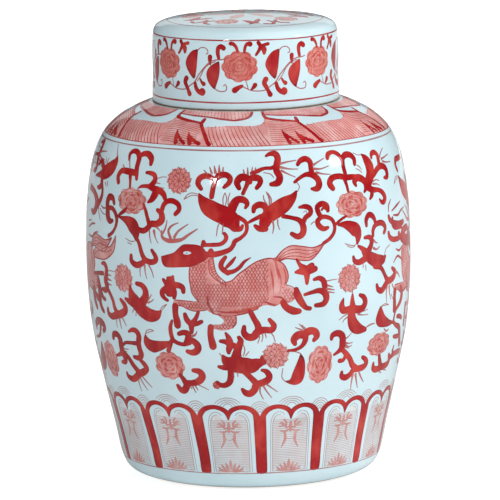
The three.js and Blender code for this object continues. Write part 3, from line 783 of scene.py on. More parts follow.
class Layer:
    """One painted piece, gathered from patches and rings that lie on the same wall."""

    def __init__(self, wall, low_high):
        self.wall = wall
        self.low, self.high = low_high
        self.points, self.faces, self.edge, self.count = [], [], [], 0

    def put(self, points, faces, edge):
        """Adds a mesh, with each point's depth from the edge of its stroke."""
        self.points.append(points)
        self.edge.append(edge)
        self.faces += [tuple(i + self.count for i in face) for face in faces]
        self.count += len(points)

    def add(self, patch, turn=0, squeeze=1, mirror=False):
        """Lays a patch on the wall. Its flat places are millimetres from the group's own middle."""
        side = -1 if mirror else 1
        degrees = side * patch.place[:, 0] / patch.per_degree * squeeze + turn
        up = patch.place[:, 1]
        rise = np.clip(patch.edge / EDGE, 0, 1)
        lift = self.low + (self.high - self.low) * rise * (2 - rise)
        top = self.wall.at(degrees, up, lift)
        bottom = self.wall.at(degrees, up, SUNK)
        n = len(top)
        faces = patch.triangles.tolist()
        faces += (patch.triangles[:, ::-1] + n).tolist()
        faces += [(a, a + n, b + n, b) for a, b in patch.border.tolist()]
        if mirror:
            faces = [face[::-1] for face in faces]
        self.put(np.vstack([top, bottom]), faces, np.tile(patch.edge, 2))

    def ring(self, up, width, sway=0.12, steps=300):
        """A brushed line right round the wall, a little uneven in width and height."""
        degrees = np.arange(steps) * 360 / steps
        turn = np.radians(degrees)
        middle = up + sway * (np.sin(3 * turn + up) + 0.5 * np.sin(7 * turn))
        half = width / 2 * (1 + 0.12 * np.sin(5 * turn + up) + 0.08 * np.sin(13 * turn))
        rows = []
        for side, lift in ((-1, self.low), (0, self.high), (1, self.low), (1, SUNK), (-1, SUNK)):
            rows.append(self.wall.at(degrees, middle + side * half, lift))
        faces = []
        for row in range(len(rows)):
            for i in range(steps):
                j, after = (i + 1) % steps, (row + 1) % len(rows)
                faces.append(tuple(k * steps + m for k, m in ((row, i), (row, j), (after, j), (after, i))))
        edge = np.repeat([0, width / 2, 0, 0, 0], steps)
        self.put(np.vstack(rows), faces, edge)

    def piece(self, name, body, finish, slot):
        """Turns what was gathered into one object that rides on its body."""
        mesh = bpy.data.meshes.new(name)
        mesh.from_pydata(np.vstack(self.points).tolist(), [], self.faces)
        depth = mesh.attributes.new("depth", "FLOAT", "POINT")
        depth.data.foreach_set("value", np.concatenate(self.edge).astype(np.float32))
        mesh.shade_smooth()
        mesh.set_sharp_from_angle(angle=math.radians(40))
        mesh.materials.append(finish)
        made = bpy.data.objects.new(name, mesh)
        bpy.context.scene.collection.objects.link(made)
        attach(made, body)


def fill(outline, k, grid=3.2, step=1.2):
    """A filled shape with a smooth outline of (degrees, up), and points to bend it by."""
    ring = smooth([(x * k, y) for x, y in outline], step, closed=True)
    after = np.roll(ring, -1, axis=0)
    if (ring[:, 0] * after[:, 1] - after[:, 0] * ring[:, 1]).sum() < 0:
        ring = ring[::-1]
    low, high = ring.min(0) + grid / 2, ring.max(0)
    lattice = [(x, y) for x in np.arange(low[0], high[0], grid) for y in np.arange(low[1], high[1], grid)]
    if not lattice:
        return [(ring.tolist(), [])]
    lattice = np.array(lattice)
    inner = lattice[inside(ring, lattice)]
    far = [p for p in inner if np.hypot(*(ring - p).T).min() > grid / 3]
    return [(ring.tolist(), [tuple(p) for p in far])]


def stroke(points, k, swell=1.0, step=1.3):
    """A brush stroke with round or pointed ends, as short flat pieces that overlap or touch."""
    line = smooth([(x * k, y, w * swell / 2) for x, y, w in points], step)
    line[:, 2] = np.maximum(line[:, 2], THINNEST)
    start, end = line[0], line[-1]
    ahead = (end - line[-2])[:2] / np.hypot(*(end - line[-2])[:2])
    back = (start - line[1])[:2] / np.hypot(*(start - line[1])[:2])
    round_end = ROUND_CAP if max(start[2], end[2]) > HAIR_END else HAIR_CAP
    cap = [(math.sin(a), math.cos(a)) for a in map(math.radians, round_end)]
    before = [(*(start[:2] + back * s * start[2]), c * start[2]) for s, c in reversed(cap)]
    after = [(*(end[:2] + ahead * s * end[2]), c * end[2]) for s, c in cap]
    line = np.array([*before, *line, *after])
    along = np.gradient(line[:, :2], axis=0)
    along /= np.hypot(*along.T)[:, None] + 1e-9
    across = np.stack([-along[:, 1], along[:, 0]], 1) * line[:, 2:]
    left, right, middle = line[:, :2] + across, line[:, :2] - across, line[:, :2]
    parts = []
    for i in range(len(line) - 1):
        corners = np.array([left[i], left[i + 1], right[i + 1], right[i]])
        centre = corners.mean(0)
        turn = np.arctan2(*(corners - centre).T[::-1])
        ring = corners[np.argsort(turn)].tolist()
        inner = [tuple(middle[i])]
        if line[i, 2] > 2.4:
            inner += [tuple((middle[i] + left[i]) / 2), tuple((middle[i] + right[i]) / 2)]
        parts.append((ring, inner))
    return parts


def brushed(strokes, k, swell=1.0, step=1.3):
    """The flat pieces of several strokes."""
    return [part for points in strokes for part in stroke(points, k, swell, step)]


def painted(wall, strokes=(), fills=(), swell=1.0, grid=3.2):
    """One patch from strokes and filled outlines."""
    heights = [p[1] for shape in (*strokes, *fills) for p in shape]
    k = wall.per_degree(sum(heights) / len(heights))
    filled = [part for outline in fills for part in fill(outline, k, grid)]
    return Patch(brushed(strokes, k, swell) + filled, k)


def scallops(x, y, wide, tall, count, depth, turn=0.0, points=4):
    """An outline with so many round lobes."""
    outline = []
    for i in range(count * points):
        angle = 2 * math.pi * i / (count * points) + turn
        reach = 1 - depth + depth * abs(math.cos(count * (angle - turn) / 2)) ** 0.7
        outline.append((x + wide * reach * math.cos(angle), y + tall * reach * math.sin(angle)))
    return outline


def petal_rows(x, y, wide, tall, rows):
    """Rows of rounded petal edges, each row given as (reach, petals, line width)."""
    lines = []
    for row, (reach, petals, width) in enumerate(rows):
        for i in range(petals):
            middle = 2 * math.pi * (i + 0.5 * (row % 2)) / petals + 0.3
            half = math.pi / petals
            arc = ((-half, 0.86), (-0.6 * half, 1.06), (0, 1.12), (0.6 * half, 1.06), (half, 0.86))
            lines.append([
                (x + wide * reach * r * math.cos(middle + a), y + tall * reach * r * math.sin(middle + a),
                 width * (1 - abs(a) / half * 0.4))
                for a, r in arc
            ])
    return lines


def peony(x, y, wide, tall, turn=0.0):
    """A full-blown peony: wash, darker shades between its petals, and petal edges."""
    wash = [scallops(x, y, wide, tall, 9, 0.1, turn)]
    edges = petal_rows(x, y, wide, tall, ((0.8, 8, 0.62), (0.56, 7, 0.62), (0.33, 5, 0.6), (0.13, 3, 0.55)))
    shades = []
    for i in range(11):
        angle = 2.4 * i + turn
        reach = 0.22 + 0.055 * i
        bend = 0.55 - 0.02 * i
        shades.append([
            (x + wide * reach * math.cos(angle + a), y + tall * reach * math.sin(angle + a), w)
            for a, w in ((-bend, 0.8), (0, 2.6), (bend, 0.8))
        ])
    return wash, edges, shades


def star_flower(x, y, reach, k):
    """An open flower with two rows of pointed petals. reach is in millimetres, k in mm per degree."""
    wash = [scallops(x, y, reach * 0.97 / k, reach * 0.97, 12, 0.12)]
    edges = []
    for count, base, belly, tip, half in ((12, 0.45, 0.74, 1.02, 0.18), (8, 0.05, 0.34, 0.56, 0.15)):
        for i in range(count):
            angle = 2 * math.pi * (i + 0.3) / count
            ends = ((base, 0, 0.35), (belly * 0.82, half * 0.8, 0.45), (belly, half, 0.5), (tip, 0, 0.5))
            for side in (-1, 1):
                edges.append([
                    (x + reach * (r * math.cos(angle) - side * h * math.sin(angle)) / k,
                     y + reach * (r * math.sin(angle) + side * h * math.cos(angle)), w)
                    for r, h, w in ends
                ])
    shades = []
    for i in range(12):
        t = 2 * math.pi * (i + 0.3) / 12
        ends = ((0.46, 1), (0.68, 0.4))
        shades.append([(x + reach * a * math.cos(t) / k, y + reach * a * math.sin(t), w) for a, w in ends])
    return wash, edges, shades

# Shoulder waves, drawn round the head of each double stroke: (degrees from the head, up, width)
WAVE_HEADS = (-70, -21.5, 25.5, 71, 114.8, 158.6, 202.4, 246.2)
WAVE_PERIOD = 47
WAVE_FOOT = 283.6
WAVE_TOP = 325.5
SURGE = (
    ((-16.6, 324, 2.4), (-16.8, 319, 2.8), (-16, 314, 3.2), (-12.7, 311.5, 3.2), (-8.7, 309.8, 3),
     (-4.7, 308.4, 2.8), (-1.2, 307.2, 2.6)),
    ((0, 312, 3), (-0.2, 309, 3.2), (-0.3, 306, 2.8), (0.8, 302, 2.6), (2.2, 297.5, 2.8), (3.8, 292.5, 3),
     (5, 288, 3), (6.2, 284.8, 3)),
)
CLOUD_EDGE = (
    (-15.5, 318.6, 1.6), (-8, 317, 2.2), (-2, 316, 2.2), (3, 315, 2.2), (8, 313.2, 2.4), (13, 311.8, 2.6),
    (15.2, 311.3, 2.6), (17.4, 311.8, 2.6), (21, 313.6, 2.8), (23.2, 316.6, 3), (24.2, 320, 3),
    (24.9, 325, 2.8),
)
SWELL_TOP = (
    (-17.2, 312), (-12.7, 311.5), (-8.7, 309.8), (-4.7, 308.4), (-0.5, 306.6), (0.9, 302), (6.3, 302.6),
    (11.3, 303.8), (18.3, 304), (24.3, 303.6), (28.3, 305.4), (30.4, 308),
)
FLAMES = (
    ((-10.2, 298, 0.9), (-9.5, 292, 2.6), (-8.3, 285.2, 3)),
    ((-9.3, 294.5, 1), (-6.8, 288.6, 2.4), (-4.6, 285, 2.4)),
    ((-4.2, 296, 0.9), (-3.2, 290.6, 2.8), (-2, 285, 3)),
    ((-3.5, 293, 1.2), (-0.9, 288.4, 3), (1.8, 285.2, 3)),
)


def hatched_waves():
    """The hair lines of one wave: down its cloud, down its long side, and up against its crest."""
    lines = []
    for i in range(21):
        x = -14.5 + 1.9 * i
        low = float(np.interp(x, *np.array(CLOUD_EDGE[:11])[:, :2].T)) + 1.4
        lean = 1.6 + 0.5 * math.sin(i)
        lines.append([(x, low, 0.6), (x - lean * 0.4, (low + WAVE_TOP) / 2, 0.7), (x - lean, WAVE_TOP, 0.6)])
    for i in range(14):
        x, drop = 3.6 + 1.75 * i, 303 - 0.9 * math.sin(i * 2.1)
        foot = (x + 4.6, WAVE_FOOT - 0.4, 0.7)
        lines.append([(x, drop, 0.5), (x + 1.1, 297, 0.7), (x + 2.4, 291, 0.9), foot])
    for i in range(12):
        y = 286 + 2 * i
        line = ((-16, y + 0.6, 0.6), (-11, y + 0.4, 0.7), (-6, y - 1.6, 0.7), (-0.5 + 0.12 * i, y - 5, 0.6))
        lines.append([place for place in line if place[1] > WAVE_FOOT + 0.4])
    return lines


def paint_waves(wash, fine, bold):
    """The shoulder's waves: one is drawn, and stretched at each head to the next one's place."""
    k = jar_wall.per_degree(300)
    cloud = [(x, y) for x, y, _ in CLOUD_EDGE]
    cloud = [(-16.6, WAVE_TOP), (-16.7, 319.6), *cloud, (24.6, WAVE_TOP), (4, WAVE_TOP + 0.4)]
    swell = [*SWELL_TOP, (30.3, 290), (30.2, WAVE_FOOT)]
    swell += [(x, WAVE_FOOT - 0.4) for x in (29, 20, 7, -6, -15)] + [(-17.2, WAVE_FOOT), (-17.2, 290)]
    pairs = (
        (wash, Patch(fill(cloud, k, 2.1, 1.6) + fill(swell, k, 2.1, 1.6), k)),
        (fine, Patch(brushed((*hatched_waves(), CLOUD_EDGE), k, 1.0, 1.8), k)),
        (bold, Patch(brushed((*SURGE, *FLAMES), k, SWELL, 1.8), k)),
    )
    for head, after in zip(WAVE_HEADS, (*WAVE_HEADS[1:], WAVE_HEADS[0] + 360)):
        lay(pairs, head, (after - head) / WAVE_PERIOD)


# Petal border: each divider leans from its top to its foot, with a cusp between each two
FRONT_POSTS = ((-72.5, -70), (-46.9, -44.5), (-21.8, -19.8), (3.5, 4.6), (28, 28.7), (52.4, 52.6), (77, 76.8))
FRONT_CUSPS = (-59.5, -34.5, -9, 16, 40.5, 65.5)
BACK_PANELS = 8
PETAL_FOOT = 26
PETAL_TOP = 75
# A post's outline: degrees from its top (0) or its foot (1), and up
POST = (
    (0, -2.6, 74), (0, -2.5, 68), (1, -2.9, 40), (1, -2.6, 28), (1, -2.1, 25.2), (1, -0.2, 24.4),
    (1, 1.6, 25.2), (1, 2.1, 28), (1, 1.9, 40), (0, 2.5, 68), (0, 2.2, 74), (0, 0, 71.4),
)
# From here on the first number is a share of the way from a post to the cusp
WINDOW_FOOT = ((1.3, 25.6), (1, 25.4), (0.7, 25.6))
ARCH_LEFT = (
    (0.05, 69, 4), (0.1, 72.6, 4.3), (0.165, 75.4, 4.4), (0.28, 78, 4.2), (0.45, 79.6, 3.8),
    (0.62, 79.8, 3.6), (0.8, 78.5, 3.8), (0.93, 76.2, 3.8), (0.99, 73, 3), (1, 70, 1.6),
)
INNER_FRAME = (
    ((0.315, 26), (0.325, 45), (0.335, 60), (0.35, 67.8), (0.41, 72.2), (0.51, 74.8), (0.62, 75.5),
     (0.72, 74.8), (0.78, 73)),
    ((0.39, 26.4), (0.39, 45), (0.395, 60), (0.415, 67), (0.47, 71), (0.56, 73), (0.66, 73.3)),
)
RIBBON = (
    ((-0.3, 63.2, 1), (-1.7, 62.2, 1.2), (-2.5, 64, 1.8), (-3.5, 66, 2), (-4.6, 65.8, 0.9)),
    ((-1.8, 63.6, 0.9), (-1.8, 66.4, 1.6), (-2.9, 69, 0.8)),
    ((-3, 64, 0.8), (-4.1, 63.2, 1.2), (-4.9, 63.6, 0.6)),
    ((-0.2, 67, 0.9), (-0.2, 63.2, 1.6), (-0.2, 59.6, 1.4)),
    ((-4.2, 60, 0.8), (-2.7, 58.8, 1.6), (-1, 60.2, 1.4)),
    ((-2.3, 59, 1.2), (-2.1, 55.2, 2.2), (-2.1, 52, 2.2), (-2.8, 48.8, 1.4), (-3.6, 46, 0.7)),
    ((-2, 53.4, 0.8), (-0.1, 52.6, 0.6)),
)
LOTUS = (
    ((0, 29, 1.6), (0, 32.6, 2.6), (0, 36, 0.8)), ((-0.9, 28.4, 1.6), (-1.6, 31, 2.2), (-2.1, 33.6, 0.7)),
    ((-1.6, 27.8, 1.4), (-3, 29.6, 2), (-3.9, 32.2, 0.7)),
    ((-2, 27.3, 1.2), (-4, 28, 1.6), (-5.4, 30, 0.6)), ((0, 27, 1.6), (-2.4, 26.6, 1.2), (-5.4, 27.4, 0.6)),
)


def mirrored(strokes):
    """The strokes and their reflections about the middle of a panel."""
    return [[(side * x, *rest) for x, *rest in points] for points in strokes for side in (-1, 1)]


def fan(middle, wide, peak, step, count):
    """Little arcs one under another, each narrower than the one above it."""
    share = ((-1, 1, 0.5), (-0.6, 0.3, 0.7), (0, 0, 0.75), (0.6, 0.3, 0.7), (1, 1, 0.5))
    arcs = []
    for i in range(count):
        half, high, drop = wide * (1 - 0.2 * i), peak - step * i, 4.4 * (1 - 0.12 * i)
        arcs.append([(middle + side * half, high - fall * drop, width) for side, fall, width in share])
    return arcs


def petal_panels():
    """Left post, cusp and right post of every panel, round the foot."""
    panels = list(zip(FRONT_POSTS, FRONT_CUSPS, FRONT_POSTS[1:]))
    first, last = FRONT_POSTS[-1], tuple(end + 360 for end in FRONT_POSTS[0])
    places = np.linspace(first[0], last[0], BACK_PANELS + 1).tolist()
    posts = [first, *((place, place) for place in places[1:-1]), last]
    cusps = [(left + right) / 2 for left, right in zip(places, places[1:])]
    return panels + list(zip(posts, cusps, posts[1:]))


def paint_petal(layers, left, cusp, right):
    """One panel of the petal border: its left post, two arches, inner frame, hatching and motifs."""
    bold, fine, motif, tint = layers
    k = jar_wall.per_degree(60)

    def across(share, up, *width):
        """A place at a share of the way from post to cusp. From 1 to 2 it goes on to the right post."""
        lean = (PETAL_TOP - up) / (PETAL_TOP - PETAL_FOOT)
        first, last = (top + (foot - top) * lean for top, foot in (left, right))
        if share <= 1:
            return (first + (cusp - first) * share, up, *width)
        return (cusp + (last - cusp) * (share - 1), up, *width)

    def both_sides(points):
        """A line in the left half of the panel, and its fellow in the right half."""
        return [[across(abs(far - share), *rest) for share, *rest in points] for far in (0, 2)]

    post = [(left[end] + x, up) for end, x, up in POST]
    bold.add(Patch(brushed(both_sides(ARCH_LEFT), k) + fill(post, k, 3), k))
    lines = [line for points in INNER_FRAME for line in both_sides([(*place, 0.55) for place in points])]
    for i in range(30):
        y = 26.8 + 1.45 * i
        lines.append([across(0.4, y, 0.35), across(1, y + 0.2 * math.sin(i), 0.45), across(1.6, y, 0.35)])
    lines += fan(left[0], 3.5, 84.4, 1.9, 5) + fan(cusp, 5, 87.6, 1.6, 4)
    fine.add(Patch(brushed(lines, k, 1.0, 2.4), k))
    motif.add(Patch(brushed(mirrored((*RIBBON, *LOTUS)), k, 1.0, 1.6), k), cusp)
    edge = [*INNER_FRAME[1], (0.8, 71)]
    window = [*edge, (1, 68), *((2 - share, up) for share, up in reversed(edge)), *WINDOW_FOOT]
    tint.add(Patch(fill([across(*place) for place in window], k, 3.6, 2), k))


# Lid border: one length of the scroll, with degrees counted from its peony
LID_TURNS = (-3.6, 50.6, 100.7, 150.7, 202.1, 253.5, 305)
LID_RED = (
    ((-1.1, 44.2, 2), (-2, 47.6, 2.4), (-3.8, 50, 2.8), (-5.3, 50.2, 3)),
    ((3, 44, 2), (3.5, 47.6, 2.2), (4.8, 49.9, 2.8), (6.4, 49.8, 4)),
    ((10.1, 41.4, 1.8), (11.9, 44.8, 2.4), (12.8, 48, 2.8), (11.7, 50.6, 3)),
    ((13, 47.4, 3), (15, 48.8, 2.4), (17.6, 49.6, 2.6)),
    ((14, 48, 3.2), (15, 45.4, 4.2), (15.1, 42.6, 2.4)), ((33, 40, 3.4), (32.9, 37.4, 3), (33.1, 34, 1.2)),
    ((15.9, 22.6, 4), (14.9, 19.6, 3.6), (16.2, 16.4, 3.2), (17.3, 13.6, 2.8), (18.4, 10.8, 3.8)),
    ((22.4, 19.4, 2.6), (23.2, 15.6, 3.2), (25, 13, 3.6), (27.2, 12.8, 6)),
    ((26.2, 22.4, 1.6), (26.9, 20.6, 2), (28.4, 19, 3.4)),
    ((38.6, 39, 2.4), (38, 43, 3), (38.4, 46.8, 3.4), (40.2, 48, 3.8), (41.6, 46.8, 3.8)),
    ((-3.2, 14.6, 4.4), (-1.4, 16.2, 3.6), (1.2, 17.8, 2.4)),
    ((7.1, 15.2, 1.6), (8.5, 17, 2.8), (9.2, 18.4, 3.4)),
)
LID_LEAVES = (
    ((24.8, 45), (24.4, 38), (23.6, 30), (22, 22.8), (19.4, 24.8), (16.8, 29.6), (15.6, 34), (17, 39),
     (20, 43.4), (23, 45)),
    ((38.8, 36.4), (39.1, 30), (38.2, 23.6), (36.6, 17.6), (35.9, 15.2), (34.2, 16.2), (31.6, 20.4),
     (30.4, 25.4), (31, 29.6), (33.6, 33.4), (36.8, 35.8)),
)
LID_VINE = (
    ((5, 15.3, 0.8), (7.5, 14.2, 0.9), (11.5, 13.8, 0.9), (15.5, 14.4, 0.9), (18.5, 17, 0.9), (22, 20.2, 1),
     (24.6, 25, 1), (28.6, 31, 1), (32.6, 35.6, 1), (36.6, 37.6, 1), (40.6, 38, 1), (42.6, 38.8, 0.8)),
    ((24, 21, 0.8), (26.4, 25, 0.9), (29, 30.6, 0.9), (32.6, 34.4, 0.8), (36.4, 36.4, 0.8)),
    ((25, 44.8, 1), (26.8, 46.6, 0.8), (29.4, 46.8, 0.8), (31.4, 45, 0.8), (31.6, 42.6, 0.8),
     (30.4, 42, 0.8)),
    ((36, 15.4, 0.9), (38, 14, 0.9), (40.6, 13.6, 0.9), (42.8, 14.4, 0.9), (43.2, 17.4, 0.9),
     (42.2, 19, 0.8), (41.4, 17.8, 0.8)),
    ((3.6, 21.6, 0.7), (4.4, 18.6, 0.7), (5, 15.3, 0.8)),
    ((1.2, 17.8, 1), (3.2, 16.4, 0.9), (5, 15.3, 0.8)),
)
LID_SPRIGS = (
    ((17, 92, 1.4), (22, 90, 5), (28, 84, 7), (33, 80, 1.4)),
    ((24, 78, 1.4), (28, 82, 4), (36, 92, 5), (40, 97, 1.4)),
    ((-12, 76, 2.6), (-18, 78, 3), (-20, 84, 3.4), (-16, 88, 3)),
    ((38, 78, 3), (44, 76, 3), (48, 82, 3), (46, 88, 2.6)),
)
LID_ROSETTE = (((0, 101, 2), (0, 108, 8), (0, 117, 10), (0, 124, 5)),)


ON_AXIS = 0.01


def revolve(name, profile, finishes, steps=BODY_STEPS):
    """A closed turned body from rows of (radius, height, finish), starting and ending on the axis."""
    turn = np.arange(steps) * 2 * math.pi / steps
    points, faces, kinds, starts = [], [], [], []
    for r, z, _ in profile:
        starts.append(len(points))
        angles = turn if r >= ON_AXIS else (0,)
        points += [(r * MM * math.cos(a), r * MM * math.sin(a), z * MM) for a in angles]
    for row, (a, b) in enumerate(zip(starts, starts[1:])):
        for i in range(steps):
            j = (i + 1) % steps
            if profile[row][0] < ON_AXIS:
                face = (a, b + j, b + i)
            elif profile[row + 1][0] < ON_AXIS:
                face = (a + i, a + j, b)
            else:
                face = (a + i, a + j, b + j, b + i)
            faces.append(face)
            kinds.append(profile[row][2])
    mesh = bpy.data.meshes.new(name)
    mesh.from_pydata(points, [], faces)
    mesh.polygons.foreach_set("material_index", kinds)
    mesh.shade_smooth()
    mesh.set_sharp_from_angle(angle=math.radians(50))
    for finish in finishes:
        mesh.materials.append(finish)
    made = bpy.data.objects.new(name, mesh)
    bpy.context.scene.collection.objects.link(made)
    return made


def arc(centre, radius, start, end, steps=6):
    """Points of a small arc in the section, angles in degrees."""
    return [
        (centre[0] + radius * math.cos(a), centre[1] + radius * math.sin(a))
        for a in np.radians(np.linspace(start, end, steps))
    ]


def inset(line, distance):
    """The line moved inwards, square to itself."""
    along = np.gradient(line, axis=0)
    along /= np.hypot(*along.T)[:, None]
    return line - np.stack([along[:, 1], -along[:, 0]], 1) * distance


GLAZED, BARE = 0, 1


def faced(finish, places):
    """Rows of a turned profile that share a finish."""
    return [(r, z, finish) for r, z in places]


def under_foot():
    """From the axis out under the jar: the recess, and the bare ring that the jar stands on."""
    return [
        *faced(GLAZED, ((0, FOOT_RECESS + 0.6), (40, FOOT_RECESS + 0.4), (70, FOOT_RECESS))),
        *faced(GLAZED, arc((70, 2.6), 2.4, 90, 20, 5)),
        *faced(BARE, ((73.4, 1.6), (FOOT_INNER + 0.3, 0.3), (FOOT_INNER + 1.2, 0))),
        *faced(BARE, ((FOOT_OUTER - 1.2, 0), (FOOT_OUTER - 0.2, 0.12))),
    ]


def seat_and_neck():
    """The bare seat under the lid, the neck up to its bare lip, and down its inside."""
    rising = np.linspace(SEAT_HEIGHT + 4, NECK_TOP - 4, 8)
    falling = np.linspace(NECK_TOP - 4, NECK_ROOT + 3, 8)
    # The bare seat reaches 0.6 mm past the lid: real unglazed clay, left showing as a dark line that is also
    # painted shade under the lid
    seat = (LID_RADIUS + 0.6, LID_RADIUS - 1.5, NECK_RADIUS + 1.4)
    return [
        (75, SEAT_HEIGHT - 0.2, GLAZED), *faced(BARE, ((r, SEAT_HEIGHT) for r in seat)),
        *faced(GLAZED, ((NECK_RADIUS + 0.5, SEAT_HEIGHT + 0.4), (NECK_RADIUS, SEAT_HEIGHT + 1.6))),
        *faced(GLAZED, ((NECK_RADIUS - 0.15, z) for z in rising)),
        *faced(BARE, arc((NECK_RADIUS - LIP, NECK_TOP - LIP), LIP, 0, 90)),
        *faced(BARE, arc((NECK_INNER + LIP, NECK_TOP - LIP), LIP, 90, 180)),
        *faced(GLAZED, ((NECK_INNER, z) for z in falling)),
        *faced(GLAZED, arc((NECK_INNER + 6, NECK_ROOT + 2), 6, 180, 240, 5)),
    ]


def jar_body(glaze, bare):
    """The thrown jar: foot, belly, shoulder, bare seat, neck and inside."""
    outside = jar_wall.line
    within = inset(outside, WALL)
    within = within[(within[:, 1] > FLOOR + 8) & (within[:, 1] < NECK_ROOT - 4)]
    base = smooth([within[0], (90, FLOOR + 4), (80, FLOOR + 1), (60, FLOOR + 0.3), (0, FLOOR)], 3)
    rows = [
        *under_foot(), *faced(GLAZED, outside[(outside[:, 1] > 0.3) & (outside[:, 1] < SEAT_HEIGHT - 0.2)]),
        *seat_and_neck(), *faced(GLAZED, within[::-1][::2]), *faced(GLAZED, base[1:-1]), (0, FLOOR, GLAZED),
    ]
    return revolve("jar_porcelain", rows, (glaze, bare))


def lid_body(glaze, bare):
    """The cap lid: glazed outside and in, with a bare rim. Its lowest millimetre outside is bare too: real
    unglazed clay, left showing as a dark line that is also painted shade under the lid.
    """
    under_top = ((0, 0), (48.3, -1.5), (60, -4), (65, -8))
    ceiling = smooth([(r, LID_CEILING + drop) for r, drop in under_top], 4)
    falling = np.linspace(LID_CEILING - 13, LID_RIM + 2.4, 9)
    outside = lid_wall.line
    rows = [
        *faced(GLAZED, ceiling), *faced(GLAZED, ((LID_INNER, z) for z in falling)),
        *faced(BARE, ((LID_INNER + 0.1, LID_RIM + 1), (LID_INNER + 1, LID_RIM), (LID_RADIUS - 1.2, LID_RIM))),
        # The lid's lowest outside millimetre is bare: real unglazed clay, and a dark line of painted shade
        # under the lid
        (LID_RADIUS - 0.4, LID_RIM + 0.5, BARE), (LID_RADIUS - 0.1, LID_RIM + 1.2, GLAZED),
        *faced(GLAZED, outside[outside[:, 1] > LID_RIM + 2][:-1]), (0, TOTAL_HEIGHT, GLAZED),
    ]
    return revolve("lid_porcelain", rows, (glaze, bare))


def turns(anchor, round_too):
    """Where a group of the belly is painted: in front, and round the back if it repeats."""
    places = [0.0]
    if round_too:
        places += [t for t in BACK_TURNS if BACK_FROM < anchor + t < BACK_TO]
    return places


def lay(pairs, turn, *how):
    """Lays each patch on its layer, turned round the jar."""
    for layer, patch in pairs:
        layer.add(patch, turn, *how)


def paint_scrolls(red, rays):
    """The scroll work of the belly."""
    for group in SCROLLS:
        fills = group.get("fills", ())
        pairs = [(red, painted(jar_wall, group["red"], fills, SWELL))]
        if "fine" in group:
            pairs.append((rays, painted(jar_wall, group["fine"])))
        places = [x for shape in (*group["red"], *fills) for x, *_ in shape]
        for turn in turns(sum(places) / len(places), group["round"]):
            lay(pairs, turn)


def paint_flowers(wash, shade, line):
    """The peonies and star flowers of the belly."""
    for repeated, kind, x, up, wide, tall in FLOWERS:
        if kind == "peony":
            petals, edges, shades = peony(x, up, wide, tall, x)
        else:
            petals, edges, shades = star_flower(x, up, wide, jar_wall.per_degree(up))
        patches = (painted(jar_wall, (), petals), painted(jar_wall, edges), painted(jar_wall, shades))
        for turn in turns(x, repeated):
            lay(zip((wash, line, shade), patches), turn)


def scales(outlines, k, across=2.5, high=2.2):
    """Small U strokes in staggered rows, wherever the whole scale is inside the body."""
    rings = [smooth([(x * k, y) for x, y in outline], 2, closed=True) for outline in outlines]
    low = np.min([ring.min(0) for ring in rings], axis=0)
    top = np.max([ring.max(0) for ring in rings], axis=0)
    spots = np.array([
        (x, y) for row, y in enumerate(np.arange(low[1], top[1], high))
        for x in np.arange(low[0] + (row % 2) * across / 2, top[0], across)
    ])
    held = np.zeros(len(spots), bool)
    for ring in rings:
        whole = inside(ring, spots)
        for corner in ((-1.1, 0.9), (1.1, 0.9), (0, -1.2)):
            whole &= inside(ring, spots + corner)
        held |= whole
    for left, bottom, right, ceiling in PLAIN_COAT:
        x, y = spots[:, 0] / k, spots[:, 1]
        held &= (x < left) | (x > right) | (y < bottom) | (y > ceiling)
    scale = ((-1.1, 0.9, 0.4), (-0.6, -0.5, 0.75), (0, -0.9, 0.85), (0.6, -0.5, 0.75), (1.1, 0.9, 0.4))
    return [[((x + dx) / k, y + dy, width) for dx, dy, width in scale] for x, y in spots[held]]


def mane():
    """The striped band down the back of the neck: two lines and the bars between them."""
    sides = [smooth(line, 0.8) for line in MANE]
    bars = []
    for i in range(13):
        bars.append([(*side[int(i / 12 * (len(side) - 1))], 0.7) for side in sides])
    return [[(x, y, 0.9) for x, y in line] for line in MANE] + bars


def paint_beasts(wash, shade, line, scaly, red, rays):
    """The running beasts, and what shows of the beasts at the two sides."""
    pairs = (
        (wash, painted(jar_wall, (), BEAST_BODY)), (wash, painted(jar_wall, (), BEAST_TAIL)),
        (shade, painted(jar_wall, BEAST_SHADES)), (line, painted(jar_wall, (*BEAST_LINES, *mane()))),
        (scaly, painted(jar_wall, scales(BEAST_BODY, jar_wall.per_degree(180)))),
        (red, painted(jar_wall, BEAST_LIMBS)),
    )
    face = ((red, painted(jar_wall, HORNS, HEAD)), (rays, painted(jar_wall, BREATH)))
    for turn, looks_back in BEASTS:
        lay(pairs, turn)
        lay(face, turn - LOOK_BACK * looks_back, 1, looks_back)
    wash.add(painted(jar_wall, (), SIDE_TAIL))
    red.add(painted(jar_wall, SIDE_LIMBS, (), SWELL))
    line.add(painted(jar_wall, SIDE_LINES))


def paint_eyes(white, dark):
    """An eye and its pupil on each beast's head."""
    pairs = ((white, painted(jar_wall, (), EYE, grid=1)), (dark, painted(jar_wall, PUPIL)))
    for turn, looks_back in BEASTS:
        lay(pairs, turn - LOOK_BACK * looks_back, 1, looks_back)


def paint_lid(red, wash, shade, line, fine):
    """The lid's border and its lines."""
    petals, edges, shades = peony(0, 32.8, 11.3, 12.2, 0.4)
    pairs = (
        (red, painted(lid_wall, LID_RED, LID_LEAVES, LID_SWELL)), (wash, painted(lid_wall, (), petals)),
        (line, painted(lid_wall, edges)), (shade, painted(lid_wall, shades)),
        (fine, painted(lid_wall, LID_VINE)),
    )
    for turn in LID_TURNS:
        lay(pairs, turn)
    line.ring(52.5, 1)
    line.ring(5.1, 1.2)
    fine.ring(68, 0.8)


def paint_lid_top(wash, shade, line, red):
    """Sprigs and a rosette on the lid's top, inside its thin ring."""
    k = lid_wall.per_degree(88)
    petals, edges, shades = peony(0, 88, 9.5 / k, 9.5, 0.9)
    pairs = (
        (wash, painted(lid_wall, (), petals)), (line, painted(lid_wall, edges)),
        (shade, painted(lid_wall, shades)), (red, painted(lid_wall, LID_SPRIGS)),
        (wash, painted(lid_wall, LID_ROSETTE)),
    )
    for i in range(LID_TOP_REPEATS):
        lay(pairs, i * 360 / LID_TOP_REPEATS - 20)


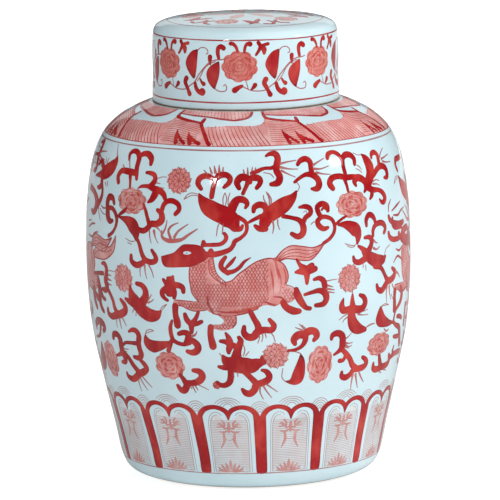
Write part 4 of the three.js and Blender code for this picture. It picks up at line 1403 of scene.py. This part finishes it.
def new_material(name):
    """An empty node material: itself, its nodes, its links and its shader."""
    made = bpy.data.materials.new(name)
    made.use_nodes = True
    nodes = made.node_tree.nodes
    return made, nodes, made.node_tree.links, nodes["Principled BSDF"]


def noise_at(nodes, links, scale, detail=3.0, stretch=(1, 1, 1)):
    """Noise in the object's own space, as a factor socket."""
    place = nodes.new("ShaderNodeTexCoord")
    mapping = nodes.new("ShaderNodeMapping")
    mapping.inputs["Scale"].default_value = stretch
    texture = nodes.new("ShaderNodeTexNoise")
    texture.inputs["Scale"].default_value = scale
    texture.inputs["Detail"].default_value = detail
    links.new(place.outputs["Object"], mapping.inputs["Vector"])
    links.new(mapping.outputs["Vector"], texture.inputs["Vector"])
    return texture.outputs["Fac"]


def ramp(nodes, links, source, stops):
    """A colour ramp from (position, colour) stops."""
    made = nodes.new("ShaderNodeValToRGB")
    elements = made.color_ramp.elements
    while len(elements) < len(stops):
        elements.new(0.5)
    for element, (position, colour) in zip(elements, stops):
        element.position = position
        element.color = (*colour, 1)
    links.new(source, made.inputs["Fac"])
    return made.outputs["Color"]


def blend(nodes, links, first, second, factor):
    """Mixes two colours, each a socket or a plain colour."""
    made = nodes.new("ShaderNodeMix")
    made.data_type = "RGBA"
    for socket, value in ((made.inputs[6], first), (made.inputs[7], second), (made.inputs[0], factor)):
        if isinstance(value, bpy.types.NodeSocket):
            links.new(value, socket)
        else:
            socket.default_value = value if isinstance(value, float) else (*value, 1)
    return made.outputs[2]


def spread(nodes, links, source, low, high):
    """Rescales a factor to a range."""
    made = nodes.new("ShaderNodeMapRange")
    made.inputs["From Min"].default_value = 0.3
    made.inputs["From Max"].default_value = 0.7
    made.inputs["To Min"].default_value = low
    made.inputs["To Max"].default_value = high
    links.new(source, made.inputs["Value"])
    return made.outputs["Result"]


def ripple(nodes, links, shader, source, distance, strength):
    """Bump on the shader's normal."""
    bump = nodes.new("ShaderNodeBump")
    bump.inputs["Distance"].default_value = distance
    bump.inputs["Strength"].default_value = strength
    links.new(source, bump.inputs["Height"])
    links.new(bump.outputs["Normal"], shader.inputs["Normal"])


def glaze_material():
    """Blue-white porcelain glaze with faint pooling, sparse iron specks and a slow ripple."""
    made, nodes, links, shader = new_material("glaze")
    tone = ramp(nodes, links, noise_at(nodes, links, 14, 4), ((0.3, GLAZE_COOL), (0.7, GLAZE_LIGHT)))
    specks = ramp(nodes, links, noise_at(nodes, links, 900, 1), ((0.79, (0, 0, 0)), (0.82, (1, 1, 1))))
    colour = blend(nodes, links, tone, GLAZE_SPECK, specks)
    links.new(colour, shader.inputs["Base Color"])
    links.new(spread(nodes, links, noise_at(nodes, links, 30), 0.06, 0.12), shader.inputs["Roughness"])
    shader.inputs["Coat Weight"].default_value = 0.2
    shader.inputs["Coat Roughness"].default_value = 0.04
    ripple(nodes, links, shader, noise_at(nodes, links, 55, 2), 0.0004, 0.25)
    return made


def bare_material():
    """Unglazed biscuit: dry, warm, with fine grit and turning marks."""
    made, nodes, links, shader = new_material("biscuit")
    tone = ramp(nodes, links, noise_at(nodes, links, 260, 5), ((0.3, BISCUIT_DARK), (0.7, BISCUIT_LIGHT)))
    links.new(tone, shader.inputs["Base Color"])
    links.new(spread(nodes, links, noise_at(nodes, links, 400), 0.7, 0.9), shader.inputs["Roughness"])
    ripple(nodes, links, shader, noise_at(nodes, links, 900, 4), 0.0006, 0.6)
    return made


def depth_of(nodes, links, reach):
    """How deep inside a stroke a point is, from 0 at its edge to 1 at so many millimetres."""
    value = nodes.new("ShaderNodeAttribute")
    value.attribute_name = "depth"
    scaled = nodes.new("ShaderNodeMapRange")
    scaled.inputs["From Max"].default_value = reach
    links.new(value.outputs["Fac"], scaled.inputs["Value"])
    return scaled.outputs["Result"]


def enamel_material(name, edge, body, pale, reach, mottle=0.5, grain=85):
    """Fired enamel: darker where it gathers at the edge of a stroke, thinner and paler in patches."""
    made, nodes, links, shader = new_material(name)
    across = ramp(nodes, links, depth_of(nodes, links, reach), ((0, edge), (0.55, body), (1, body)))
    cloudy = noise_at(nodes, links, grain, 4, (1, 1, 0.6))
    patches = ramp(nodes, links, cloudy, ((0.44, (0, 0, 0)), (0.68, (1, 1, 1))))
    thin = nodes.new("ShaderNodeMath")
    thin.operation = "MULTIPLY"
    thin.inputs[1].default_value = mottle
    links.new(patches, thin.inputs[0])
    colour = blend(nodes, links, across, pale, thin.outputs[0])
    slow = spread(nodes, links, noise_at(nodes, links, 22, 2), 0.86, 1.08)
    shade = nodes.new("ShaderNodeVectorMath")
    shade.operation = "SCALE"
    links.new(colour, shade.inputs[0])
    links.new(slow, shade.inputs["Scale"])
    links.new(shade.outputs["Vector"], shader.inputs["Base Color"])
    links.new(spread(nodes, links, noise_at(nodes, links, 300), 0.05, 0.10), shader.inputs["Roughness"])
    shader.inputs["Specular IOR Level"].default_value = 0.45
    ripple(nodes, links, shader, noise_at(nodes, links, 700, 3), 0.0001, 0.3)
    return made


def soft_light(name, place, target, size, power, mirrored_too=False, colour=(1, 1, 1)):
    """An area light. Only some of them show as reflections in the glaze."""
    lamp = bpy.data.lights.new(name, "AREA")
    lamp.shape = "RECTANGLE"
    lamp.size, lamp.size_y = size
    lamp.energy = power
    lamp.color = colour
    light = bpy.data.objects.new(name, lamp)
    light.location = place
    light.visible_camera = False
    light.visible_glossy = mirrored_too
    bpy.context.scene.collection.objects.link(light)
    light.rotation_euler = (Vector(target) - light.location).to_track_quat("-Z", "Y").to_euler()


def by_ray(nodes, links, seen, mirrored, scattered):
    """One number for what the camera sees, one for reflections and one for scattered light."""
    path = nodes.new("ShaderNodeLightPath")
    total = None
    rays = (("Is Camera Ray", seen), ("Is Glossy Ray", mirrored), ("Is Diffuse Ray", scattered))
    for output, amount in rays:
        step = nodes.new("ShaderNodeMath")
        step.operation = "MULTIPLY_ADD"
        step.inputs[1].default_value = amount
        step.inputs[2].default_value = 0
        links.new(path.outputs[output], step.inputs[0])
        if total:
            links.new(total, step.inputs[2])
        total = step.outputs[0]
    return total


def studio():
    """A white surround, soft lights from the right and above, and two windows that the glaze mirrors."""
    middle = (0, 0, cad_high.z / 2)
    lid_top = (0, 0, cad_high.z)
    soft_light("window", (-0.945, -2.165, 0.91), middle, (0.25, 0.18), 9, mirrored_too=True)
    soft_light("far_window", (2.31, -0.77, 1.25), middle, (0.42, 0.36), 4, mirrored_too=True)
    soft_light("key", (1.9, -2.3, 2.1), middle, (2.4, 2.0), 33)
    soft_light("side", (2.6, 0.3, 1.2), middle, (1.6, 1.6), 29, colour=WARM)
    soft_light("overhead", (0.4, -1.5, 2.7), lid_top, (1.8, 1.6), 30)
    soft_light("back", (0.6, 4.4, 1.6), middle, (3.0, 2.0), 144)
    soft_light("sky", (0.1, 5.2, 1.5), lid_top, (3.6, 1.2), 7.2, mirrored_too=True)
    world = bpy.data.worlds.new("surround")
    world.use_nodes = True
    nodes, links = world.node_tree.nodes, world.node_tree.links
    background = nodes["Background"]
    background.inputs["Color"].default_value = (1, 1, 1, 1)
    links.new(by_ray(nodes, links, 1, 0.10, 0.30), background.inputs["Strength"])
    bpy.context.scene.world = world


def floor():
    """A pale floor that runs far out into the white surround and glows back at the foot."""
    bpy.ops.mesh.primitive_plane_add(size=60, location=(0, 0, -0.0006))
    ground = bpy.context.object
    ground.name = "floor"
    made, nodes, links, shader = new_material("paper")
    tone = ramp(nodes, links, noise_at(nodes, links, 6), ((0.3, (0.40,) * 3), (0.7, (0.44,) * 3)))
    links.new(tone, shader.inputs["Base Color"])
    shader.inputs["Roughness"].default_value = 0.9
    shader.inputs["Specular IOR Level"].default_value = 0.1
    shader.inputs["Emission Color"].default_value = (1, 0.985, 0.97, 1)
    links.new(by_ray(nodes, links, 0.8, 0.10, 0.62), shader.inputs["Emission Strength"])
    ground.data.materials.append(made)


def camera():
    """A long lens a little above the jar, tilted down and turned slightly about its own axis."""
    lens = bpy.data.cameras.new("camera")
    lens.lens = CAMERA_LENS
    lens.sensor_width = 36
    lens.shift_x = CAMERA_SHIFT
    lens.clip_end = 200
    made = bpy.data.objects.new("camera", lens)
    tilt = Matrix.Rotation(math.radians(90 - CAMERA_TILT), 3, "X")
    made.rotation_euler = (tilt @ Matrix.Rotation(math.radians(-CAMERA_ROLL), 3, "Z")).to_euler()
    made.location = (0, -CAMERA_DISTANCE, CAMERA_HEIGHT)
    bpy.context.scene.collection.objects.link(made)
    bpy.context.scene.camera = made
# Enamels: colours at the edge, in the body and where thin; reach of the edge in mm; mottle; grain
ENAMELS = {
    "iron_red": ((0.15, 0.003, 0.006), (0.36, 0.007, 0.011), (0.56, 0.06, 0.045), 1.3, 0.65),
    "pink_wash": ((0.48, 0.11, 0.10), (0.60, 0.22, 0.205), (0.70, 0.40, 0.385), 1.6, 0.9, 120),
    "wave_pink": ((0.52, 0.15, 0.14), (0.66, 0.29, 0.275), (0.74, 0.46, 0.445), 1.6, 0.9, 100),
    "rose_wash": ((0.50, 0.10, 0.08), (0.60, 0.14, 0.12), (0.64, 0.28, 0.24), 1.6, 0.8, 90),
    # glare_paled_pink: the lid top's wash, kept paler than the other washes as painted glare, a painted
    # reflection of the light on the lid's top
    "glare_paled_pink": ((0.55, 0.26, 0.24), (0.62, 0.36, 0.34), (0.66, 0.50, 0.49), 1.6, 0.9, 60),
    "shade_red": ((0.46, 0.08, 0.07), (0.48, 0.07, 0.06), (0.60, 0.20, 0.16), 0.8, 0.8, 120),
    "line_red": ((0.34, 0.05, 0.05), (0.34, 0.03, 0.035), (0.46, 0.13, 0.12), 0.5),
    "ray_brown": ((0.30, 0.13, 0.13), (0.50, 0.09, 0.085), (0.40, 0.2, 0.19), 1.3, 0.7),
    "ring_mauve": ((0.36, 0.20, 0.21), (0.36, 0.17, 0.18), (0.45, 0.30, 0.30), 0.4, 0.8),
    "hatch_grey": ((0.42, 0.31, 0.32), (0.41, 0.29, 0.30), (0.48, 0.42, 0.43), 0.4, 0.8),
    "motif_rose": ((0.34, 0.14, 0.13), (0.56, 0.25, 0.23), (0.62, 0.40, 0.38), 0.8, 0.8, 140),
    "tint_grey": ((0.64, 0.64, 0.65), (0.62, 0.63, 0.65), (0.62, 0.70, 0.74), 2.0, 0.8),
}

# Painted pieces: the body they ride on, how far they stand on the glaze, their finish and their slot
PIECES = {
    "scroll_strokes": ("jar", RED, "iron_red", "red_enamel"),
    "scroll_rays": ("jar", LINE, "ray_brown", "pink_wash"),
    "beast_wash": ("jar", WASH, "pink_wash", "pink_wash"),
    "beast_shades": ("jar", SHADE, "shade_red", "pink_wash"),
    "beast_lines": ("jar", LINE, "line_red", "red_enamel"),
    "beast_scales": ("jar", LINE, "line_red", "red_enamel"),
    "beast_strokes": ("jar", RED, "iron_red", "red_enamel"),
    "beast_eyes": ("jar", EYE_WHITE, "glaze", "white_glaze"),
    "beast_pupils": ("jar", EYE_DARK, "iron_red", "red_enamel"),
    "flower_wash": ("jar", WASH, "pink_wash", "pink_wash"),
    "flower_shades": ("jar", SHADE, "shade_red", "pink_wash"),
    "flower_lines": ("jar", LINE, "line_red", "red_enamel"),
    "wave_wash": ("jar", WAVE_WASH, "wave_pink", "pink_wash"),
    "wave_lines": ("jar", WAVE_LINE, "line_red", "pink_wash"),
    "wave_strokes": ("jar", WAVE_RED, "iron_red", "red_enamel"),
    "shoulder_rings": ("jar", LINE, "line_red", "red_enamel"),
    "pale_rings": ("jar", LINE, "ring_mauve", "pink_wash"),
    "petal_frames": ("jar", RED, "iron_red", "red_enamel"),
    "petal_hatching": ("jar", LINE, "hatch_grey", "pink_wash"),
    "petal_motifs": ("jar", LINE, "motif_rose", "pink_wash"),
    "petal_tint": ("jar", TINT, "tint_grey", "pink_wash"),
    "lid_strokes": ("lid", RED, "iron_red", "red_enamel"),
    "lid_wash": ("lid", WASH, "rose_wash", "pink_wash"),
    # The lid top's wash takes the paler pink: painted glare on the lid's top
    "lid_top_wash": ("lid", WASH, "glare_paled_pink", "pink_wash"),
    "lid_shades": ("lid", SHADE, "shade_red", "pink_wash"),
    "lid_lines": ("lid", LINE, "line_red", "red_enamel"),
    "lid_vine": ("lid", LINE, "ray_brown", "pink_wash"),
}

camera()
studio()
floor()

jar_wall = Wall(BODY_OUTLINE)
lid_wall = Wall(LID_OUTLINE)
glaze = glaze_material()
bare = bare_material()
finishes = {name: enamel_material(name, *look) for name, look in ENAMELS.items()}
finishes["glaze"] = glaze

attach(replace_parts(jar_body(glaze, bare), "jar"), "jar")
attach(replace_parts(lid_body(glaze, bare), "lid"), "lid")

walls = {"jar": jar_wall, "lid": lid_wall}
layers = {name: Layer(walls[body], rise) for name, (body, rise, _, _) in PIECES.items()}


def pick(*names):
    """The layers of these pieces."""
    return [layers[name] for name in names]


paint_scrolls(*pick("scroll_strokes", "scroll_rays"))
paint_beasts(*pick("beast_wash", "beast_shades", "beast_lines", "beast_scales", "beast_strokes"),
             layers["scroll_rays"])
paint_eyes(*pick("beast_eyes", "beast_pupils"))
paint_flowers(*pick("flower_wash", "flower_shades", "flower_lines"))
paint_waves(*pick("wave_wash", "wave_lines", "wave_strokes"))
layers["shoulder_rings"].ring(283.2, 0.9)
layers["pale_rings"].ring(279.5, 1.2)
layers["pale_rings"].ring(25, 0.8)
for panel in petal_panels():
    paint_petal(pick("petal_frames", "petal_hatching", "petal_motifs", "petal_tint"), *panel)
paint_lid(*pick("lid_strokes", "lid_wash", "lid_shades", "lid_lines", "lid_vine"))
paint_lid_top(*pick("lid_top_wash", "lid_shades", "lid_lines", "lid_strokes"))

for name, (body, _, finish, slot) in PIECES.items():
    layers[name].piece(name, body, finishes[finish], slot)

bpy.context.scene.view_settings.view_transform = "Standard"
